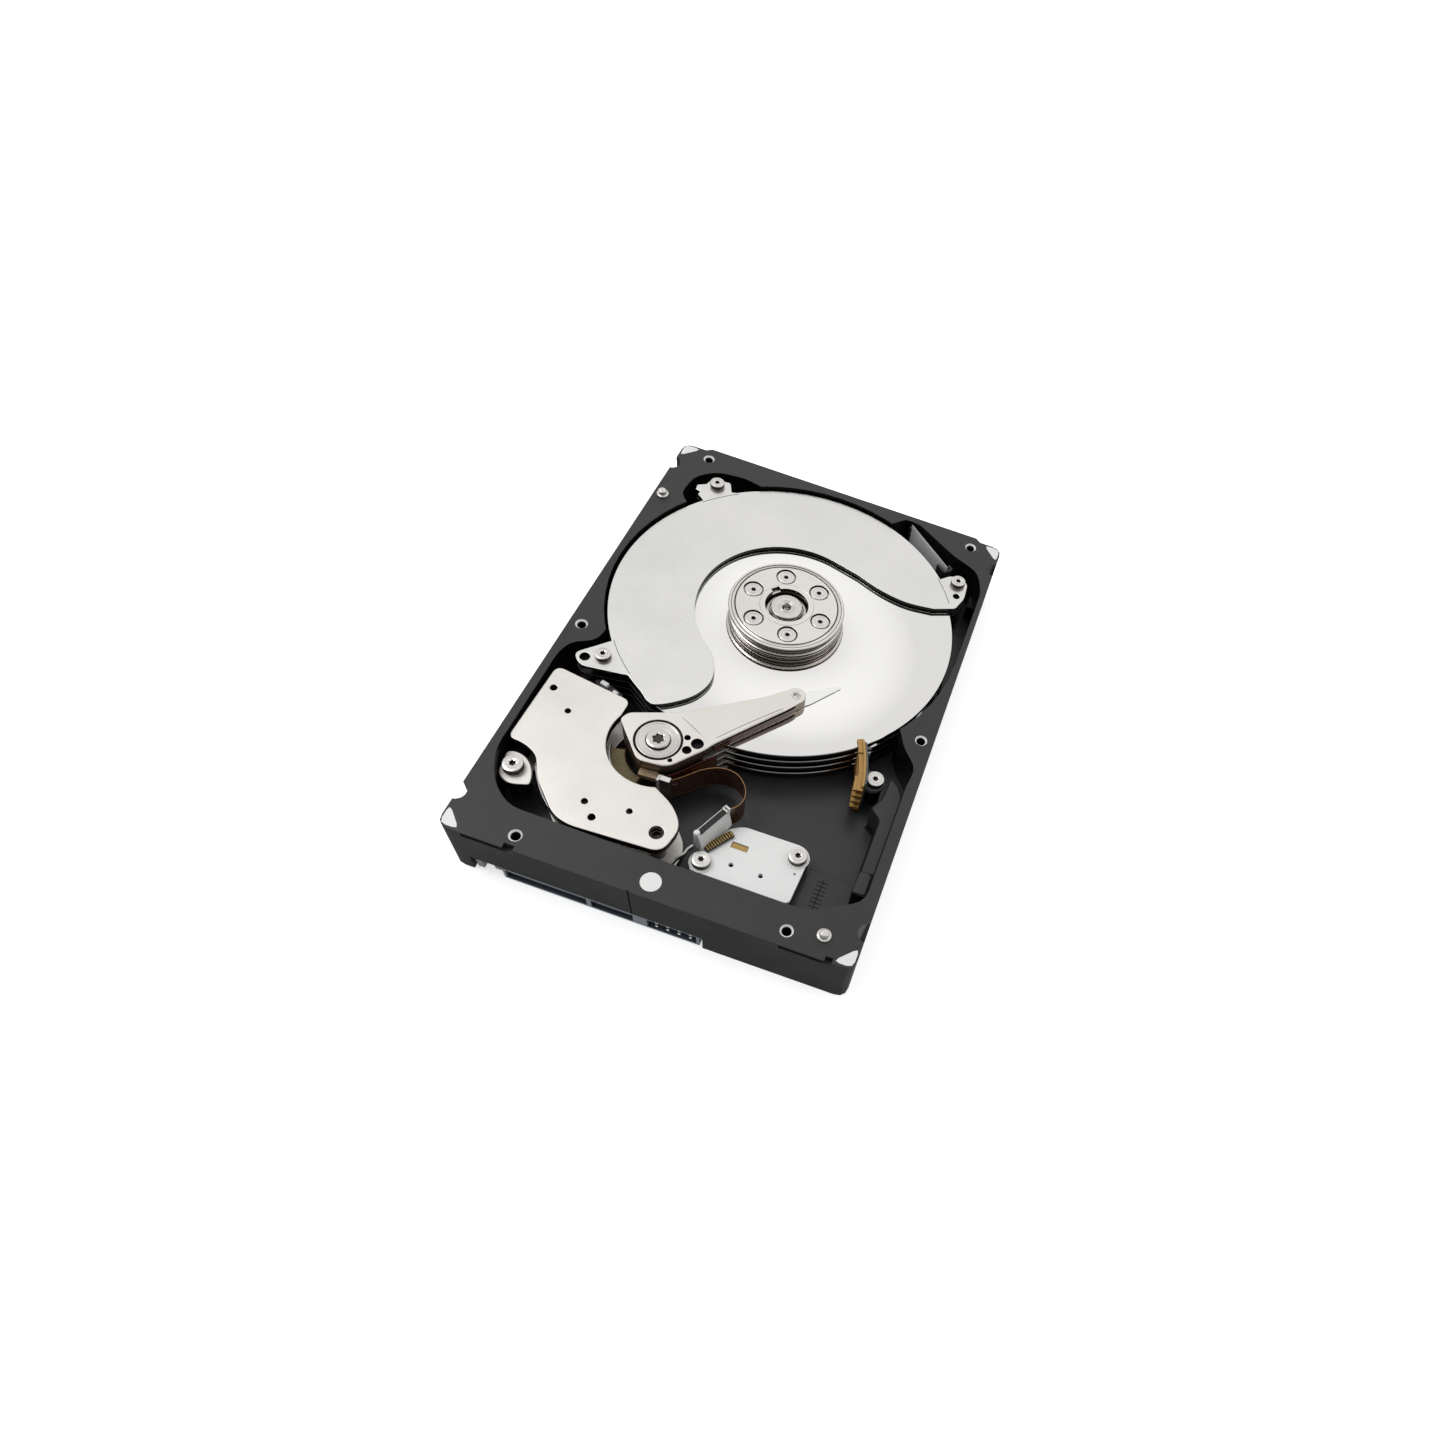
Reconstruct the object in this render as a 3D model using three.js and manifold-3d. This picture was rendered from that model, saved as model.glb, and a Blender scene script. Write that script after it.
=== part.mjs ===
// A 3.5-inch hard disk drive in the low, 20 mm height class, with its top cover taken off.
// Lengths are millimetres and +Z is up. Pieces are drawn with x from the drive's middle plane, y from the
// connector end and z from the bottom rails; the exported group then moves the origin to the middle of
// the drive's footprint. The spindle stands at SPINDLE and the actuator turns about PIVOT.
import * as THREE from "three";
import { mergeVertices } from "three/addons/utils/BufferGeometryUtils.js";
import Module from "manifold-3d";

const wasm = await Module();
wasm.setup();

// ---- Driving dimensions: form factor ----
const WIDTH = 101.6;
const LENGTH = 147;
const CASTING_TOP = 17.6;
const FLOOR_TOP = 4.6;
const FLOOR_UNDERSIDE = 3.4;
const FRONT_LAND_TOP = 5.8;
const SIDE_HOLE_HEIGHT = 6.35;
const SIDE_HOLE_ROWS = [28.5, 69.8, 130.1];
const BOTTOM_HOLE_X = 47.625;
const BOTTOM_HOLE_ROWS = [41.28, 85.73];
const MOUNT_SCREW_R = 1.6;
const HOLE_DEPTH = 3.2;

// ---- Driving dimensions: disk stack ----
const SPINDLE = { x: 0, y: 95.6 };
const PLATTER_R = 47.5;
const PLATTER_BORE_R = 12.5;
const PLATTER_THICKNESS = 1.27;
const PLATTER_PITCH = 2.6;
const PLATTER_COUNT = 4;
const TOP_PLATTER_TOP = 15.2;
const BAY_R = 49;
const CLAMP_R = 16;
const CLAMP_TOP = 19.4;
const CLAMP_SCREW_CIRCLE_R = 10.5;
const CLAMP_SCREW_PHASE = 50.7;
const CLAMP_HOLE_R = 6;
const FIXED_SHAFT_R = 2.6;
const MOTOR_BASE_R = 14.2;
const MOTOR_BASE_BOTTOM = 0.8;
const HUB_BOTTOM = 5;
const CAP_TOP = 18.8;

// ---- Driving dimensions: actuator ----
const PIVOT = { x: -14.1, y: 40.9 };
const ARM_ANGLE = 45.3;
const ARM_REACH = 38.1;
const LIFT_TAB_REACH = 51.7;
const HEAD_REACH = 49.8;
const BEARING_R = 5.9;
const PIVOT_SHAFT_R = 2.5;
const BLOCK_TOP = 18.4;
const BLOCK_R = 7.5;
const ARM_THICKNESS = 0.5;
const COIL = { inner: 11.6, outer: 29.4, halfAngle: 16, bottom: 9.3, top: 11.9, frame: 1.6 };

// ---- Driving dimensions: magnet yokes, air dampers, small parts ----
const YOKE_BOTTOM = { bottom: 4.9, top: 6.9 };
const YOKE_TOP = { bottom: 14.35, top: 16.6 };
const YOKE_THROAT_R = 12.8;
const YOKE_POSTS = [[-45.3, 50.2], [-4.4, 17.2]];
const YOKE_HOLES = [[-45, 46.6, 0.9], [-38.6, 41.4, 0.8], [-23.4, 18.8, 0.8], [-12.6, 20.2, 0.8]];
const CRASH_STOPS = [[-41.4, 48.4], [-20, 15.4]];
const MAGNET = { inner: 14.8, outer: 28.6, halfAngle: 36, turn: -14, thickness: 1.8 };
const CORNER_CLAMP_TOP = 14;
const DAMPER_R = 48.2;
const DAMPER_INNER_R = 25;
const DAMPER_THICKNESS = 0.6;
const TOP_DAMPER = { bottom: 15.7, top: 16.6 };
const BRACKET = { bottom: 7.6, top: 8.8, uprightTop: 14.8, uprightAngle: 67 };
const RAMP = { inner: 50.6, outer: 52.6, from: 8, to: 26, earBottom: 10.7, earTop: 12.2 };
const FILTER = { x: 29.8, y: 137.9, angle: -42.4, length: 13, bottom: 4.7, top: 16.9 };

// ---- Driving dimensions: fasteners, circuit board and connector ----
const COVER_SCREWS = [[-41.8, 142.5], [41.8, 142.5], [-47.4, 67.8], [47.4, 67.8], [-33.2, 3.9], [33.2, 3.9]];
const PIN_REAR = [-48, 122.2];
const PIN_FRONT = [41.6, 5.8];
const DAMPER_SCREWS = [[-35.7, 134], [41.9, 127.3], [-38.2, 60.9]];
const DAMPER_PILOTS = [[42.8, 122.4], [-42.4, 58.9]];
const BRACKET_SCREWS = [[28.2, 27.4], [6.6, 17.6]];
const RAMP_SCREW = [39.6, 54.4];
const YOKE_SCREW = [-44, 22.6];
const BOARD_SCREW = [39, 70];
const SCREW_SHANK_R = 1.1;
const SCREW_HOLE_R = 1.2;
const CLEARANCE_HOLE_R = 1.35;
const BOARD = { left: -43.6, right: 43.6, front: 9.4, rear: 77, bottom: 0.6, top: 1.6 };
const CONNECTOR_BAY = { left: -45.5, right: 14, depth: 9, top: 5.6 };
const PLUG = { front: 0.1, back: 8.6, bottom: 0.7, top: 5.3, wall: 0.7 };

// Clearance between pieces that touch in the real drive, and how far a cutting tool runs past a face.
const GAP = 0.05;
const PAST = 1;

// Heights worked out from the driving dimensions.
const PLATTER_TOPS = Array.from({ length: PLATTER_COUNT }, (_, i) => TOP_PLATTER_TOP - i * PLATTER_PITCH);
const SPACE_BETWEEN_PLATTERS = PLATTER_PITCH - PLATTER_THICKNESS;
const STACK_BOTTOM = PLATTER_TOPS[PLATTER_COUNT - 1] - PLATTER_THICKNESS;
// Middle heights of the three spaces between platters, from the top one down.
const SPACE_MIDDLES = PLATTER_TOPS.slice(1).map((top) => top + SPACE_BETWEEN_PLATTERS / 2);

// ---- Finishes: colour, roughness, metalness ----
const FINISHES = {
  coatedCasting: [0x3a3b3d, 0.55, 0.3],
  platter: [0xe4e3e0, 0.05, 1],
  machinedSteel: [0xc9c5bd, 0.3, 1],
  nickel: [0xd9d2c6, 0.38, 1],
  aluminium: [0xd4d2cd, 0.35, 1],
  screwSteel: [0xb9b6ae, 0.3, 1],
  copper: [0xa9683a, 0.35, 1],
  magnet: [0x9a9a98, 0.35, 1],
  castAluminium: [0xcdc8bf, 0.4, 0.9],
  springSteel: [0xcfcfcd, 0.2, 1],
  polyimide: [0x7a3c12, 0.35, 0],
  tanPlastic: [0xc79a4a, 0.5, 0],
  blackPlastic: [0x1c1d1f, 0.5, 0],
  connectorPlastic: [0x3f4a52, 0.45, 0],
  boardGreen: [0x1e4a34, 0.5, 0],
  filterCloth: [0x8d8e90, 0.9, 0],
  gold: [0xb08a3c, 0.3, 1],
  rubber: [0x202020, 0.85, 0],
  whiteSteel: [0xe6e6e3, 0.35, 0.6],
};

// ---- Geometry helpers ----
const radians = THREE.MathUtils.degToRad;

function toSolid(geometry) {
  const bare = geometry.clone();
  bare.deleteAttribute("normal");
  bare.deleteAttribute("uv");
  const merged = mergeVertices(bare, 1e-4);
  const vertProperties = merged.attributes.position.array;
  const triVerts = new Uint32Array(merged.index.array);
  return new wasm.Manifold(new wasm.Mesh({ numProp: 3, vertProperties, triVerts }));
}

function toGeometry(solid) {
  const mesh = solid.getMesh();
  const positions = new Float32Array(mesh.numVert * 3);
  for (let i = 0; i < mesh.numVert; i++) {
    const start = i * mesh.numProp;
    positions.set(mesh.vertProperties.subarray(start, start + 3), i * 3);
  }
  const geometry = new THREE.BufferGeometry();
  geometry.setAttribute("position", new THREE.BufferAttribute(positions, 3));
  geometry.setIndex(new THREE.BufferAttribute(mesh.triVerts, 1));
  return geometry;
}

function join(...solids) {
  return solids.reduce((whole, next) => whole.add(next));
}

function cut(body, ...tools) {
  return tools.reduce((whole, next) => whole.subtract(next), body);
}

// A prism of a closed outline between two heights.
function slab(points, bottom, top) {
  const shape = new THREE.Shape(points);
  const options = { depth: top - bottom, bevelEnabled: false, steps: 1 };
  return toSolid(new THREE.ExtrudeGeometry(shape, options).translate(0, 0, bottom));
}

function rod(x, y, radius, bottom, top, sides = 24) {
  const geometry = new THREE.CylinderGeometry(radius, radius, top - bottom, sides);
  return toSolid(geometry.rotateX(Math.PI / 2).translate(x, y, (bottom + top) / 2));
}

// A rod that lies along X, from x0 to x1.
function crossRod(x0, x1, y, z, radius, sides = 10) {
  const geometry = new THREE.CylinderGeometry(radius, radius, x1 - x0, sides);
  return toSolid(geometry.rotateZ(Math.PI / 2).translate((x0 + x1) / 2, y, z));
}

// A cone that widens upwards, for the countersink of a hole.
function countersink(x, y, radius, top, depth, sides = 12) {
  const geometry = new THREE.CylinderGeometry(radius, radius - depth, depth, sides);
  return toSolid(geometry.rotateX(Math.PI / 2).translate(x, y, top - depth / 2));
}

function block(x0, x1, y0, y1, z0, z1) {
  const geometry = new THREE.BoxGeometry(x1 - x0, y1 - y0, z1 - z0);
  return toSolid(geometry.translate((x0 + x1) / 2, (y0 + y1) / 2, (z0 + z1) / 2));
}

// A block turned about Z, centred on (x, y).
function turnedBlock(x, y, degrees, length, width, bottom, top) {
  const geometry = new THREE.BoxGeometry(length, width, top - bottom);
  return toSolid(geometry.rotateZ(radians(degrees)).translate(x, y, (bottom + top) / 2));
}

// A solid of revolution about the vertical line through (x, y). The profile is a list of [radius, height]
// that starts and ends on the axis, from the bottom up.
function spun(x, y, profile, sides) {
  const points = profile.map(([radius, height]) => new THREE.Vector2(radius, height));
  return toSolid(new THREE.LatheGeometry(points, sides).rotateX(Math.PI / 2).translate(x, y, 0));
}

// The same for a hollow piece, whose profile runs anticlockwise and closes on itself.
function turned(x, y, profile, sides = 32) {
  return spun(x, y, [...profile, profile[0]], sides);
}

function ring(x, y, inner, outer, bottom, top, sides = 48) {
  return turned(x, y, [[inner, bottom], [outer, bottom], [outer, top], [inner, top]], sides);
}

// Points on an arc from one angle to another, in degrees, both ends included.
function arc(x, y, radius, from, to, steps) {
  return Array.from({ length: steps + 1 }, (_, i) => {
    const angle = radians(from + ((to - from) * i) / steps);
    return new THREE.Vector2(x + radius * Math.cos(angle), y + radius * Math.sin(angle));
  });
}

// Points on a smooth curve through the given [x, y] places.
function smooth(places, steps) {
  return new THREE.SplineCurve(places.map(([x, y]) => new THREE.Vector2(x, y))).getPoints(steps);
}

// A closed outline from corners [x, y, radius], each rounded by a curve of two or more chords.
function rounded(corners) {
  const at = corners.map(([x, y]) => new THREE.Vector2(x, y));
  return corners.flatMap(([, , radius], i) => {
    const here = at[i];
    if (!radius) return [here];
    const before = at[(i + at.length - 1) % at.length].clone().sub(here);
    const after = at[(i + 1) % at.length].clone().sub(here);
    const start = here.clone().add(before.setLength(Math.min(radius, before.length() / 2)));
    const end = here.clone().add(after.setLength(Math.min(radius, after.length() / 2)));
    return new THREE.QuadraticBezierCurve(start, here, end).getPoints(Math.max(2, Math.round(radius)));
  });
}

// An annular sector about the origin whose middle lies along -X.
function sector(inner, outer, halfAngle, steps = 8) {
  return [
    ...arc(0, 0, outer, 180 - halfAngle, 180 + halfAngle, steps),
    ...arc(0, 0, inner, 180 + halfAngle, 180 - halfAngle, steps),
  ];
}

function piece(name, solid, finish) {
  const [color, roughness, metalness] = FINISHES[finish];
  const mesh = new THREE.Mesh(
    toGeometry(solid),
    new THREE.MeshStandardMaterial({ color, roughness, metalness }),
  );
  mesh.name = name;
  return mesh;
}

// A cheese-head screw with a hexagonal stand-in for its six-lobed socket.
function screw(x, y, { headR, headTop, headHeight, shankR, shankBottom }) {
  const seat = headTop - headHeight;
  const edge = 0.2;
  const profile = [
    [0, shankBottom], [shankR, shankBottom], [shankR, seat], [headR, seat],
    [headR, headTop - edge], [headR - edge, headTop], [0, headTop],
  ];
  const socket = rod(x, y, headR * 0.42, headTop - headHeight * 0.6, headTop + PAST, 6);
  return cut(spun(x, y, profile, 12), socket);
}

// ---- Base casting ----
function castingOutline() {
  const half = WIDTH / 2;
  const cornerBack = LENGTH - 1.2;
  return rounded([
    [-half, 0, 3], [half, 0, 3], [half, cornerBack, 3], [44, cornerBack, 0],
    [42.5, LENGTH, 0], [-42.5, LENGTH, 0], [-44, cornerBack, 0], [-half, cornerBack, 3],
  ]);
}

// The room for the actuator, the magnets and the cable, seen from above.
function chamberOutline() {
  return rounded([
    [-30, 75, 0], [-40.9, 70.3, 0], [-41.4, 64.2, 3], [-47, 61.6, 3], [-48.6, 57, 2], [-48.6, 24, 3],
    [-44.8, 15.4, 4], [-38.4, 10.6, 3], [2, 10.2, 0], [36, 10.4, 3], [47.8, 17.6, 3], [47.8, 53, 2],
    [48.6, 59, 3], [44, 63.4, 3], [41.4, 69, 0], [30, 75, 0],
  ]);
}

function rearLeftPocket() {
  return rounded([
    [-36, 118, 0], [-43.6, 125.4, 2], [-42.8, 133.6, 3], [-37.6, 138.4, 3], [-29, 139.6, 2],
    [-21, 138, 1], [-18, 130, 0],
  ]);
}

function rearRightPocket() {
  return rounded([
    [14, 138, 0], [20.6, 145.1, 1], [25, 144.8, 1], [38, 136.8, 1], [46.4, 133.4, 3], [49.2, 126, 2],
    [49.2, 96, 0], [36, 110, 0],
  ]);
}

function castingCavity() {
  const above = CASTING_TOP + PAST;
  return join(
    rod(SPINDLE.x, SPINDLE.y, BAY_R, FLOOR_TOP, above, 60),
    slab(chamberOutline(), FLOOR_TOP, above),
    slab(rearLeftPocket(), FLOOR_TOP, above),
    slab(rearRightPocket(), FLOOR_TOP, above),
  );
}

// Bosses, ledges and lands that rise from the floor inside the cavity.
function castingInside() {
  const damperSeat = SPACE_MIDDLES[2] - PLATTER_PITCH / 2 - GAP;
  const seats = DAMPER_SCREWS.map(([x, y]) => rod(x, y, 2.9, FLOOR_UNDERSIDE, damperSeat, 14));
  const bossTop = SIDE_HOLE_HEIGHT + 2.75;
  const sideBosses = [
    block(-49.5, -46, SIDE_HOLE_ROWS[0] - 3, SIDE_HOLE_ROWS[0] + 3, FLOOR_UNDERSIDE, bossTop),
    block(46, 49.5, SIDE_HOLE_ROWS[0] - 3, SIDE_HOLE_ROWS[0] + 3, FLOOR_UNDERSIDE, bossTop),
    block(46.4, 49.5, SIDE_HOLE_ROWS[2] - 2.5, SIDE_HOLE_ROWS[2] + 2.5, FLOOR_UNDERSIDE, bossTop),
  ];
  const breatherLedge = slab(
    rounded([
      [44.2, 20.6, 0], [47.9, 20.6, 0], [47.9, 52, 2], [45.8, 55.2, 1], [43.3, 56.8, 0.5], [43, 49.6, 1],
      [41, 45.6, 0.5], [44.2, 43, 1],
    ]),
    FLOOR_UNDERSIDE, 13.4,
  );
  const breatherBlock = slab(
    rounded([[43.8, 20.2, 0.8], [47.4, 20.2, 0.8], [47.4, 26.7, 0.8], [44, 26.7, 0.8]]), FLOOR_UNDERSIDE, 14.6,
  );
  const frontLand = slab(
    rounded([[31.8, 9.5, 0], [46.5, 9.5, 0], [48.5, 18, 0], [43.6, 27.4, 0], [31.8, 27.4, 1]]),
    FLOOR_UNDERSIDE, FRONT_LAND_TOP,
  );
  return join(
    ...seats, ...sideBosses, breatherLedge, breatherBlock, frontLand,
    rod(...RAMP_SCREW, 2.2, FLOOR_UNDERSIDE, RAMP.earBottom - GAP, 14),
    rod(...YOKE_SCREW, 3.2, FLOOR_UNDERSIDE, YOKE_BOTTOM.bottom - GAP, 14),
    ...BRACKET_SCREWS.map(([x, y]) => rod(x, y, 2.8, FLOOR_UNDERSIDE, BRACKET.bottom - GAP, 14)),
    rod(PIVOT.x, PIVOT.y, 4.6, FLOOR_UNDERSIDE, FLOOR_TOP + 0.2, 16),
  );
}

// The hollows of the underside: the circuit board's bay, and the disk side with its boss and ribs.
function castingUnderside() {
  const boardBay = slab(
    rounded([[-44.2, 8, 2], [44.2, 8, 2], [44.2, 78.5, 3], [-44.2, 78.5, 3]]),
    -PAST, FLOOR_UNDERSIDE,
  );
  const diskSide = slab(
    rounded([[-44.2, 81, 3], [44.2, 81, 3], [44.2, 142.5, 6], [-44.2, 142.5, 6]]),
    -PAST, 2.4,
  );
  const ribCount = 8;
  const ribMiddleR = 31;
  const ribs = Array.from({ length: ribCount }, (_, i) => {
    const angle = (360 / ribCount) * (i + 0.5);
    const x = SPINDLE.x + ribMiddleR * Math.cos(radians(angle));
    const y = SPINDLE.y + ribMiddleR * Math.sin(radians(angle));
    return turnedBlock(x, y, angle, 30, 1.6, MOTOR_BASE_BOTTOM, 3);
  });
  const motorBoss = rod(SPINDLE.x, SPINDLE.y, 18.5, MOTOR_BASE_BOTTOM, 3, 40);
  return join(boardBay, cut(diskSide, motorBoss, ...ribs));
}

function castingHoles() {
  const above = CASTING_TOP + PAST;
  const coverHoles = COVER_SCREWS.flatMap(([x, y]) => [
    rod(x, y, 1.15, CASTING_TOP - 6, above, 12),
    countersink(x, y, 1.75, CASTING_TOP + 0.1, 0.6),
  ]);
  const pinHoles = [PIN_REAR, PIN_FRONT].map(([x, y]) => rod(x, y, 1.1, CASTING_TOP - 3, above, 12));
  const bottomHoles = [-1, 1].flatMap((side) =>
    BOTTOM_HOLE_ROWS.map((y) => rod(side * BOTTOM_HOLE_X, y, MOUNT_SCREW_R, -PAST, HOLE_DEPTH, 10)));
  const half = WIDTH / 2;
  const sideHoles = SIDE_HOLE_ROWS.flatMap((y) => [
    crossRod(-half - PAST, -half + HOLE_DEPTH, y, SIDE_HOLE_HEIGHT, MOUNT_SCREW_R),
    crossRod(half - HOLE_DEPTH, half + PAST, y, SIDE_HOLE_HEIGHT, MOUNT_SCREW_R),
  ]);
  const innerScrews = [...DAMPER_SCREWS, RAMP_SCREW, YOKE_SCREW, ...BRACKET_SCREWS];
  const screwHoles = innerScrews.map(([x, y]) => rod(x, y, SCREW_HOLE_R, FLOOR_UNDERSIDE + 0.4, above, 8));
  const boardHole = rod(...BOARD_SCREW, 0.95, -PAST, FLOOR_UNDERSIDE + 0.8, 8);
  return join(
    ...coverHoles, ...pinHoles, ...bottomHoles, ...sideHoles, ...screwHoles, boardHole,
    rod(SPINDLE.x, SPINDLE.y, MOTOR_BASE_R + 0.1, -PAST, FLOOR_TOP + PAST, 40),
    rod(PIVOT.x, PIVOT.y, PIVOT_SHAFT_R + 0.1, FLOOR_UNDERSIDE - PAST, FLOOR_TOP + PAST, 16),
  );
}

// Notches along the outer edges: finger scallops, cover slots and the seam groove.
function castingNotches() {
  const half = WIDTH / 2;
  const scallops = [[-half - 0.4, 136.4], [half + 0.4, 136.4], [-half - 0.4, 10], [half + 0.4, 10]]
    .map(([x, y]) => rod(x, y, 2.6, 6, CASTING_TOP + PAST, 14));
  const slotBottom = CASTING_TOP - 1.9;
  const coverSlots = [[-45, -32], [32.6, 45.4]]
    .map(([x0, x1]) => block(x0, x1, -PAST, 1.1, slotBottom, CASTING_TOP - 0.5));
  const slotMouths = [[-34.6, -32], [43.6, 45.4]]
    .map(([x0, x1]) => block(x0, x1, -PAST, 1.3, slotBottom, CASTING_TOP + PAST));
  const seam = block(-4.1, -3.7, -PAST, 0.35, -PAST, CASTING_TOP + PAST);
  const { left, right, depth, top } = CONNECTOR_BAY;
  const connectorBay = block(left, right, -PAST, depth, -PAST, top);
  return join(...scallops, ...coverSlots, ...slotMouths, seam, connectorBay);
}

// Bare machined pads, which stand a little proud of the coated rim.
function datumPads() {
  const padBottom = CASTING_TOP - 0.5;
  const padTop = CASTING_TOP + 0.12;
  const corner = (side, y, inward) => slab(
    rounded([[side * 50.3, y, 1.6], [side * 50.3, y + inward * 5.2, 1.6], [side * 45.4, y, 1.6]]),
    padBottom, padTop,
  );
  return join(
    corner(-1, 0.6, 1), corner(1, 0.6, 1), corner(-1, 145.2, -1), corner(1, 145.2, -1),
    rod(0, 4.1, 2.5, padBottom, padTop, 20),
  );
}

// Shallow tick marks on the front land: a spine with eight short marks on each side.
function castingTicks() {
  const bottom = FRONT_LAND_TOP - 0.2;
  const above = FRONT_LAND_TOP + PAST;
  const tickPitch = 1.2;
  const ticks = Array.from({ length: 8 }, (_, i) => {
    const y = 16.3 + i * tickPitch;
    return join(block(34.6, 35.9, y, y + 0.25, bottom, above), block(36.1, 37.4, y, y + 0.25, bottom, above));
  });
  return [block(35.9, 36.15, 15.9, 25.6, bottom, above), ...ticks];
}

function makeBaseCasting() {
  const outer = slab(castingOutline(), 0, CASTING_TOP);
  const shell = join(cut(outer, castingCavity()), castingInside(), datumPads());
  const casting = cut(shell, castingUnderside(), castingHoles(), castingNotches(), ...castingTicks());
  return piece("base_casting", casting, "coatedCasting");
}

function makeLocatingPin(name, [x, y]) {
  const rootR = 1;
  const collarR = 1.7;
  const tipR = 1.15;
  const profile = [
    [0, -2.9], [rootR, -2.9], [rootR, GAP], [collarR, GAP], [collarR, 0.5], [tipR, 0.5],
    [tipR, 1.5], [0.8, 1.75], [0, 1.75],
  ];
  const pin = spun(x, y, profile, 12).translate(0, 0, CASTING_TOP);
  return piece(name, pin, "screwSteel");
}

// ---- Spindle: fixed motor base and shaft, then what turns ----
function makeMotorBase() {
  const baseTop = 4.4;
  const capBottom = 17.7;
  const capR = 4.4;
  const profile = [
    [0, MOTOR_BASE_BOTTOM], [MOTOR_BASE_R, MOTOR_BASE_BOTTOM], [MOTOR_BASE_R, baseTop],
    [FIXED_SHAFT_R, baseTop], [FIXED_SHAFT_R, capBottom], [capR, capBottom],
    [capR, CAP_TOP - 0.2], [capR - 0.2, CAP_TOP], [0, CAP_TOP],
  ];
  const body = spun(SPINDLE.x, SPINDLE.y, profile, 32);
  const coverScrewHole = rod(SPINDLE.x, SPINDLE.y, CLEARANCE_HOLE_R, 14, CAP_TOP + PAST, 12);
  return piece("spindle_motor_base", cut(body, coverScrewHole), "machinedSteel");
}

function makeStator() {
  const toothCount = 9;
  const toothMiddleR = 7;
  const top = 10.2;
  const teeth = Array.from({ length: toothCount }, (_, i) => {
    const angle = (360 / toothCount) * i;
    const x = SPINDLE.x + toothMiddleR * Math.cos(radians(angle));
    const y = SPINDLE.y + toothMiddleR * Math.sin(radians(angle));
    return turnedBlock(x, y, angle, 4.4, 2.2, 5.6, top);
  });
  return piece("stator_core", join(ring(SPINDLE.x, SPINDLE.y, 4.7, 6, 4.6, top, 24), ...teeth), "copper");
}

// The hub turns on the fixed shaft, hangs over the stator and carries the stack on its barrel.
function makeHub() {
  const bore = FIXED_SHAFT_R + 0.06;
  const barrelR = PLATTER_BORE_R - 0.1;
  const barrelTop = TOP_PLATTER_TOP + 0.6;
  const flangeR = 14.9;
  const flangeTop = STACK_BOTTOM - GAP;
  const hollow = { inner: 4.2, outer: 11.5, top: 13 };
  const noseR = 5.6;
  const noseTop = 17.4;
  const profile = [
    [bore, HUB_BOTTOM], [hollow.inner, HUB_BOTTOM], [hollow.inner, hollow.top],
    [hollow.outer, hollow.top], [hollow.outer, HUB_BOTTOM], [flangeR, HUB_BOTTOM],
    [flangeR, flangeTop], [barrelR, flangeTop], [barrelR, barrelTop], [noseR, barrelTop],
    [noseR, noseTop], [bore, noseTop],
  ];
  const holes = clampScrewPlaces().map(([x, y]) => rod(x, y, SCREW_HOLE_R, 13.6, barrelTop + PAST, 8));
  return piece("spindle_hub", cut(turned(SPINDLE.x, SPINDLE.y, profile), ...holes), "aluminium");
}

function makeRotorMagnet() {
  return piece("rotor_magnet", ring(SPINDLE.x, SPINDLE.y, 9.9, 11.4, HUB_BOTTOM + 0.4, 12, 24), "magnet");
}

function makePlatters() {
  return PLATTER_TOPS.map((top, i) => {
    const platter = ring(SPINDLE.x, SPINDLE.y, PLATTER_BORE_R, PLATTER_R, top - PLATTER_THICKNESS, top, 48);
    return piece(`platter_${i + 1}`, platter, "platter");
  });
}

function makeSpacers() {
  return PLATTER_TOPS.slice(1).map((top, i) => {
    const spacerTop = top + SPACE_BETWEEN_PLATTERS - GAP;
    const spacer = ring(SPINDLE.x, SPINDLE.y, PLATTER_BORE_R + 0.1, 15.4, top + GAP, spacerTop, 24);
    return piece(`platter_spacer_${i + 1}`, spacer, "aluminium");
  });
}

function clampScrewPlaces() {
  return arc(SPINDLE.x, SPINDLE.y, CLAMP_SCREW_CIRCLE_R, CLAMP_SCREW_PHASE, CLAMP_SCREW_PHASE + 300, 5)
    .map(({ x, y }) => [x, y]);
}

function makeClamp() {
  const seat = TOP_PLATTER_TOP + GAP;
  const underside = 15.9;
  const profile = [
    [CLAMP_HOLE_R, underside], [12.6, underside], [12.6, seat], [15.8, seat], [15.8, 16.6],
    [15.2, 16.8], [15.2, 17.9], [CLAMP_R, 18.1], [CLAMP_R, CLAMP_TOP], [CLAMP_HOLE_R, CLAMP_TOP],
  ];
  const screwCuts = clampScrewPlaces().flatMap(([x, y]) => [
    rod(x, y, 2.75, CLAMP_TOP - 1.2, CLAMP_TOP + PAST, 12),
    rod(x, y, CLEARANCE_HOLE_R, 15, CLAMP_TOP, 8),
  ]);
  const keywayAngle = 138;
  const keywayR = CLAMP_HOLE_R + 0.3;
  const keyway = turnedBlock(
    SPINDLE.x + keywayR * Math.cos(radians(keywayAngle)),
    SPINDLE.y + keywayR * Math.sin(radians(keywayAngle)),
    keywayAngle, 2, 2.2, 17, CLAMP_TOP + PAST,
  );
  return piece("disk_clamp", cut(turned(SPINDLE.x, SPINDLE.y, profile), ...screwCuts, keyway), "nickel");
}

function makeClampScrews() {
  const size = {
    headR: 2.5, headTop: CLAMP_TOP - 0.15, headHeight: 1, shankR: SCREW_SHANK_R, shankBottom: 13.8,
  };
  return clampScrewPlaces()
    .map(([x, y], i) => piece(`clamp_screw_${i + 1}`, screw(x, y, size), "screwSteel"));
}

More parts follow.
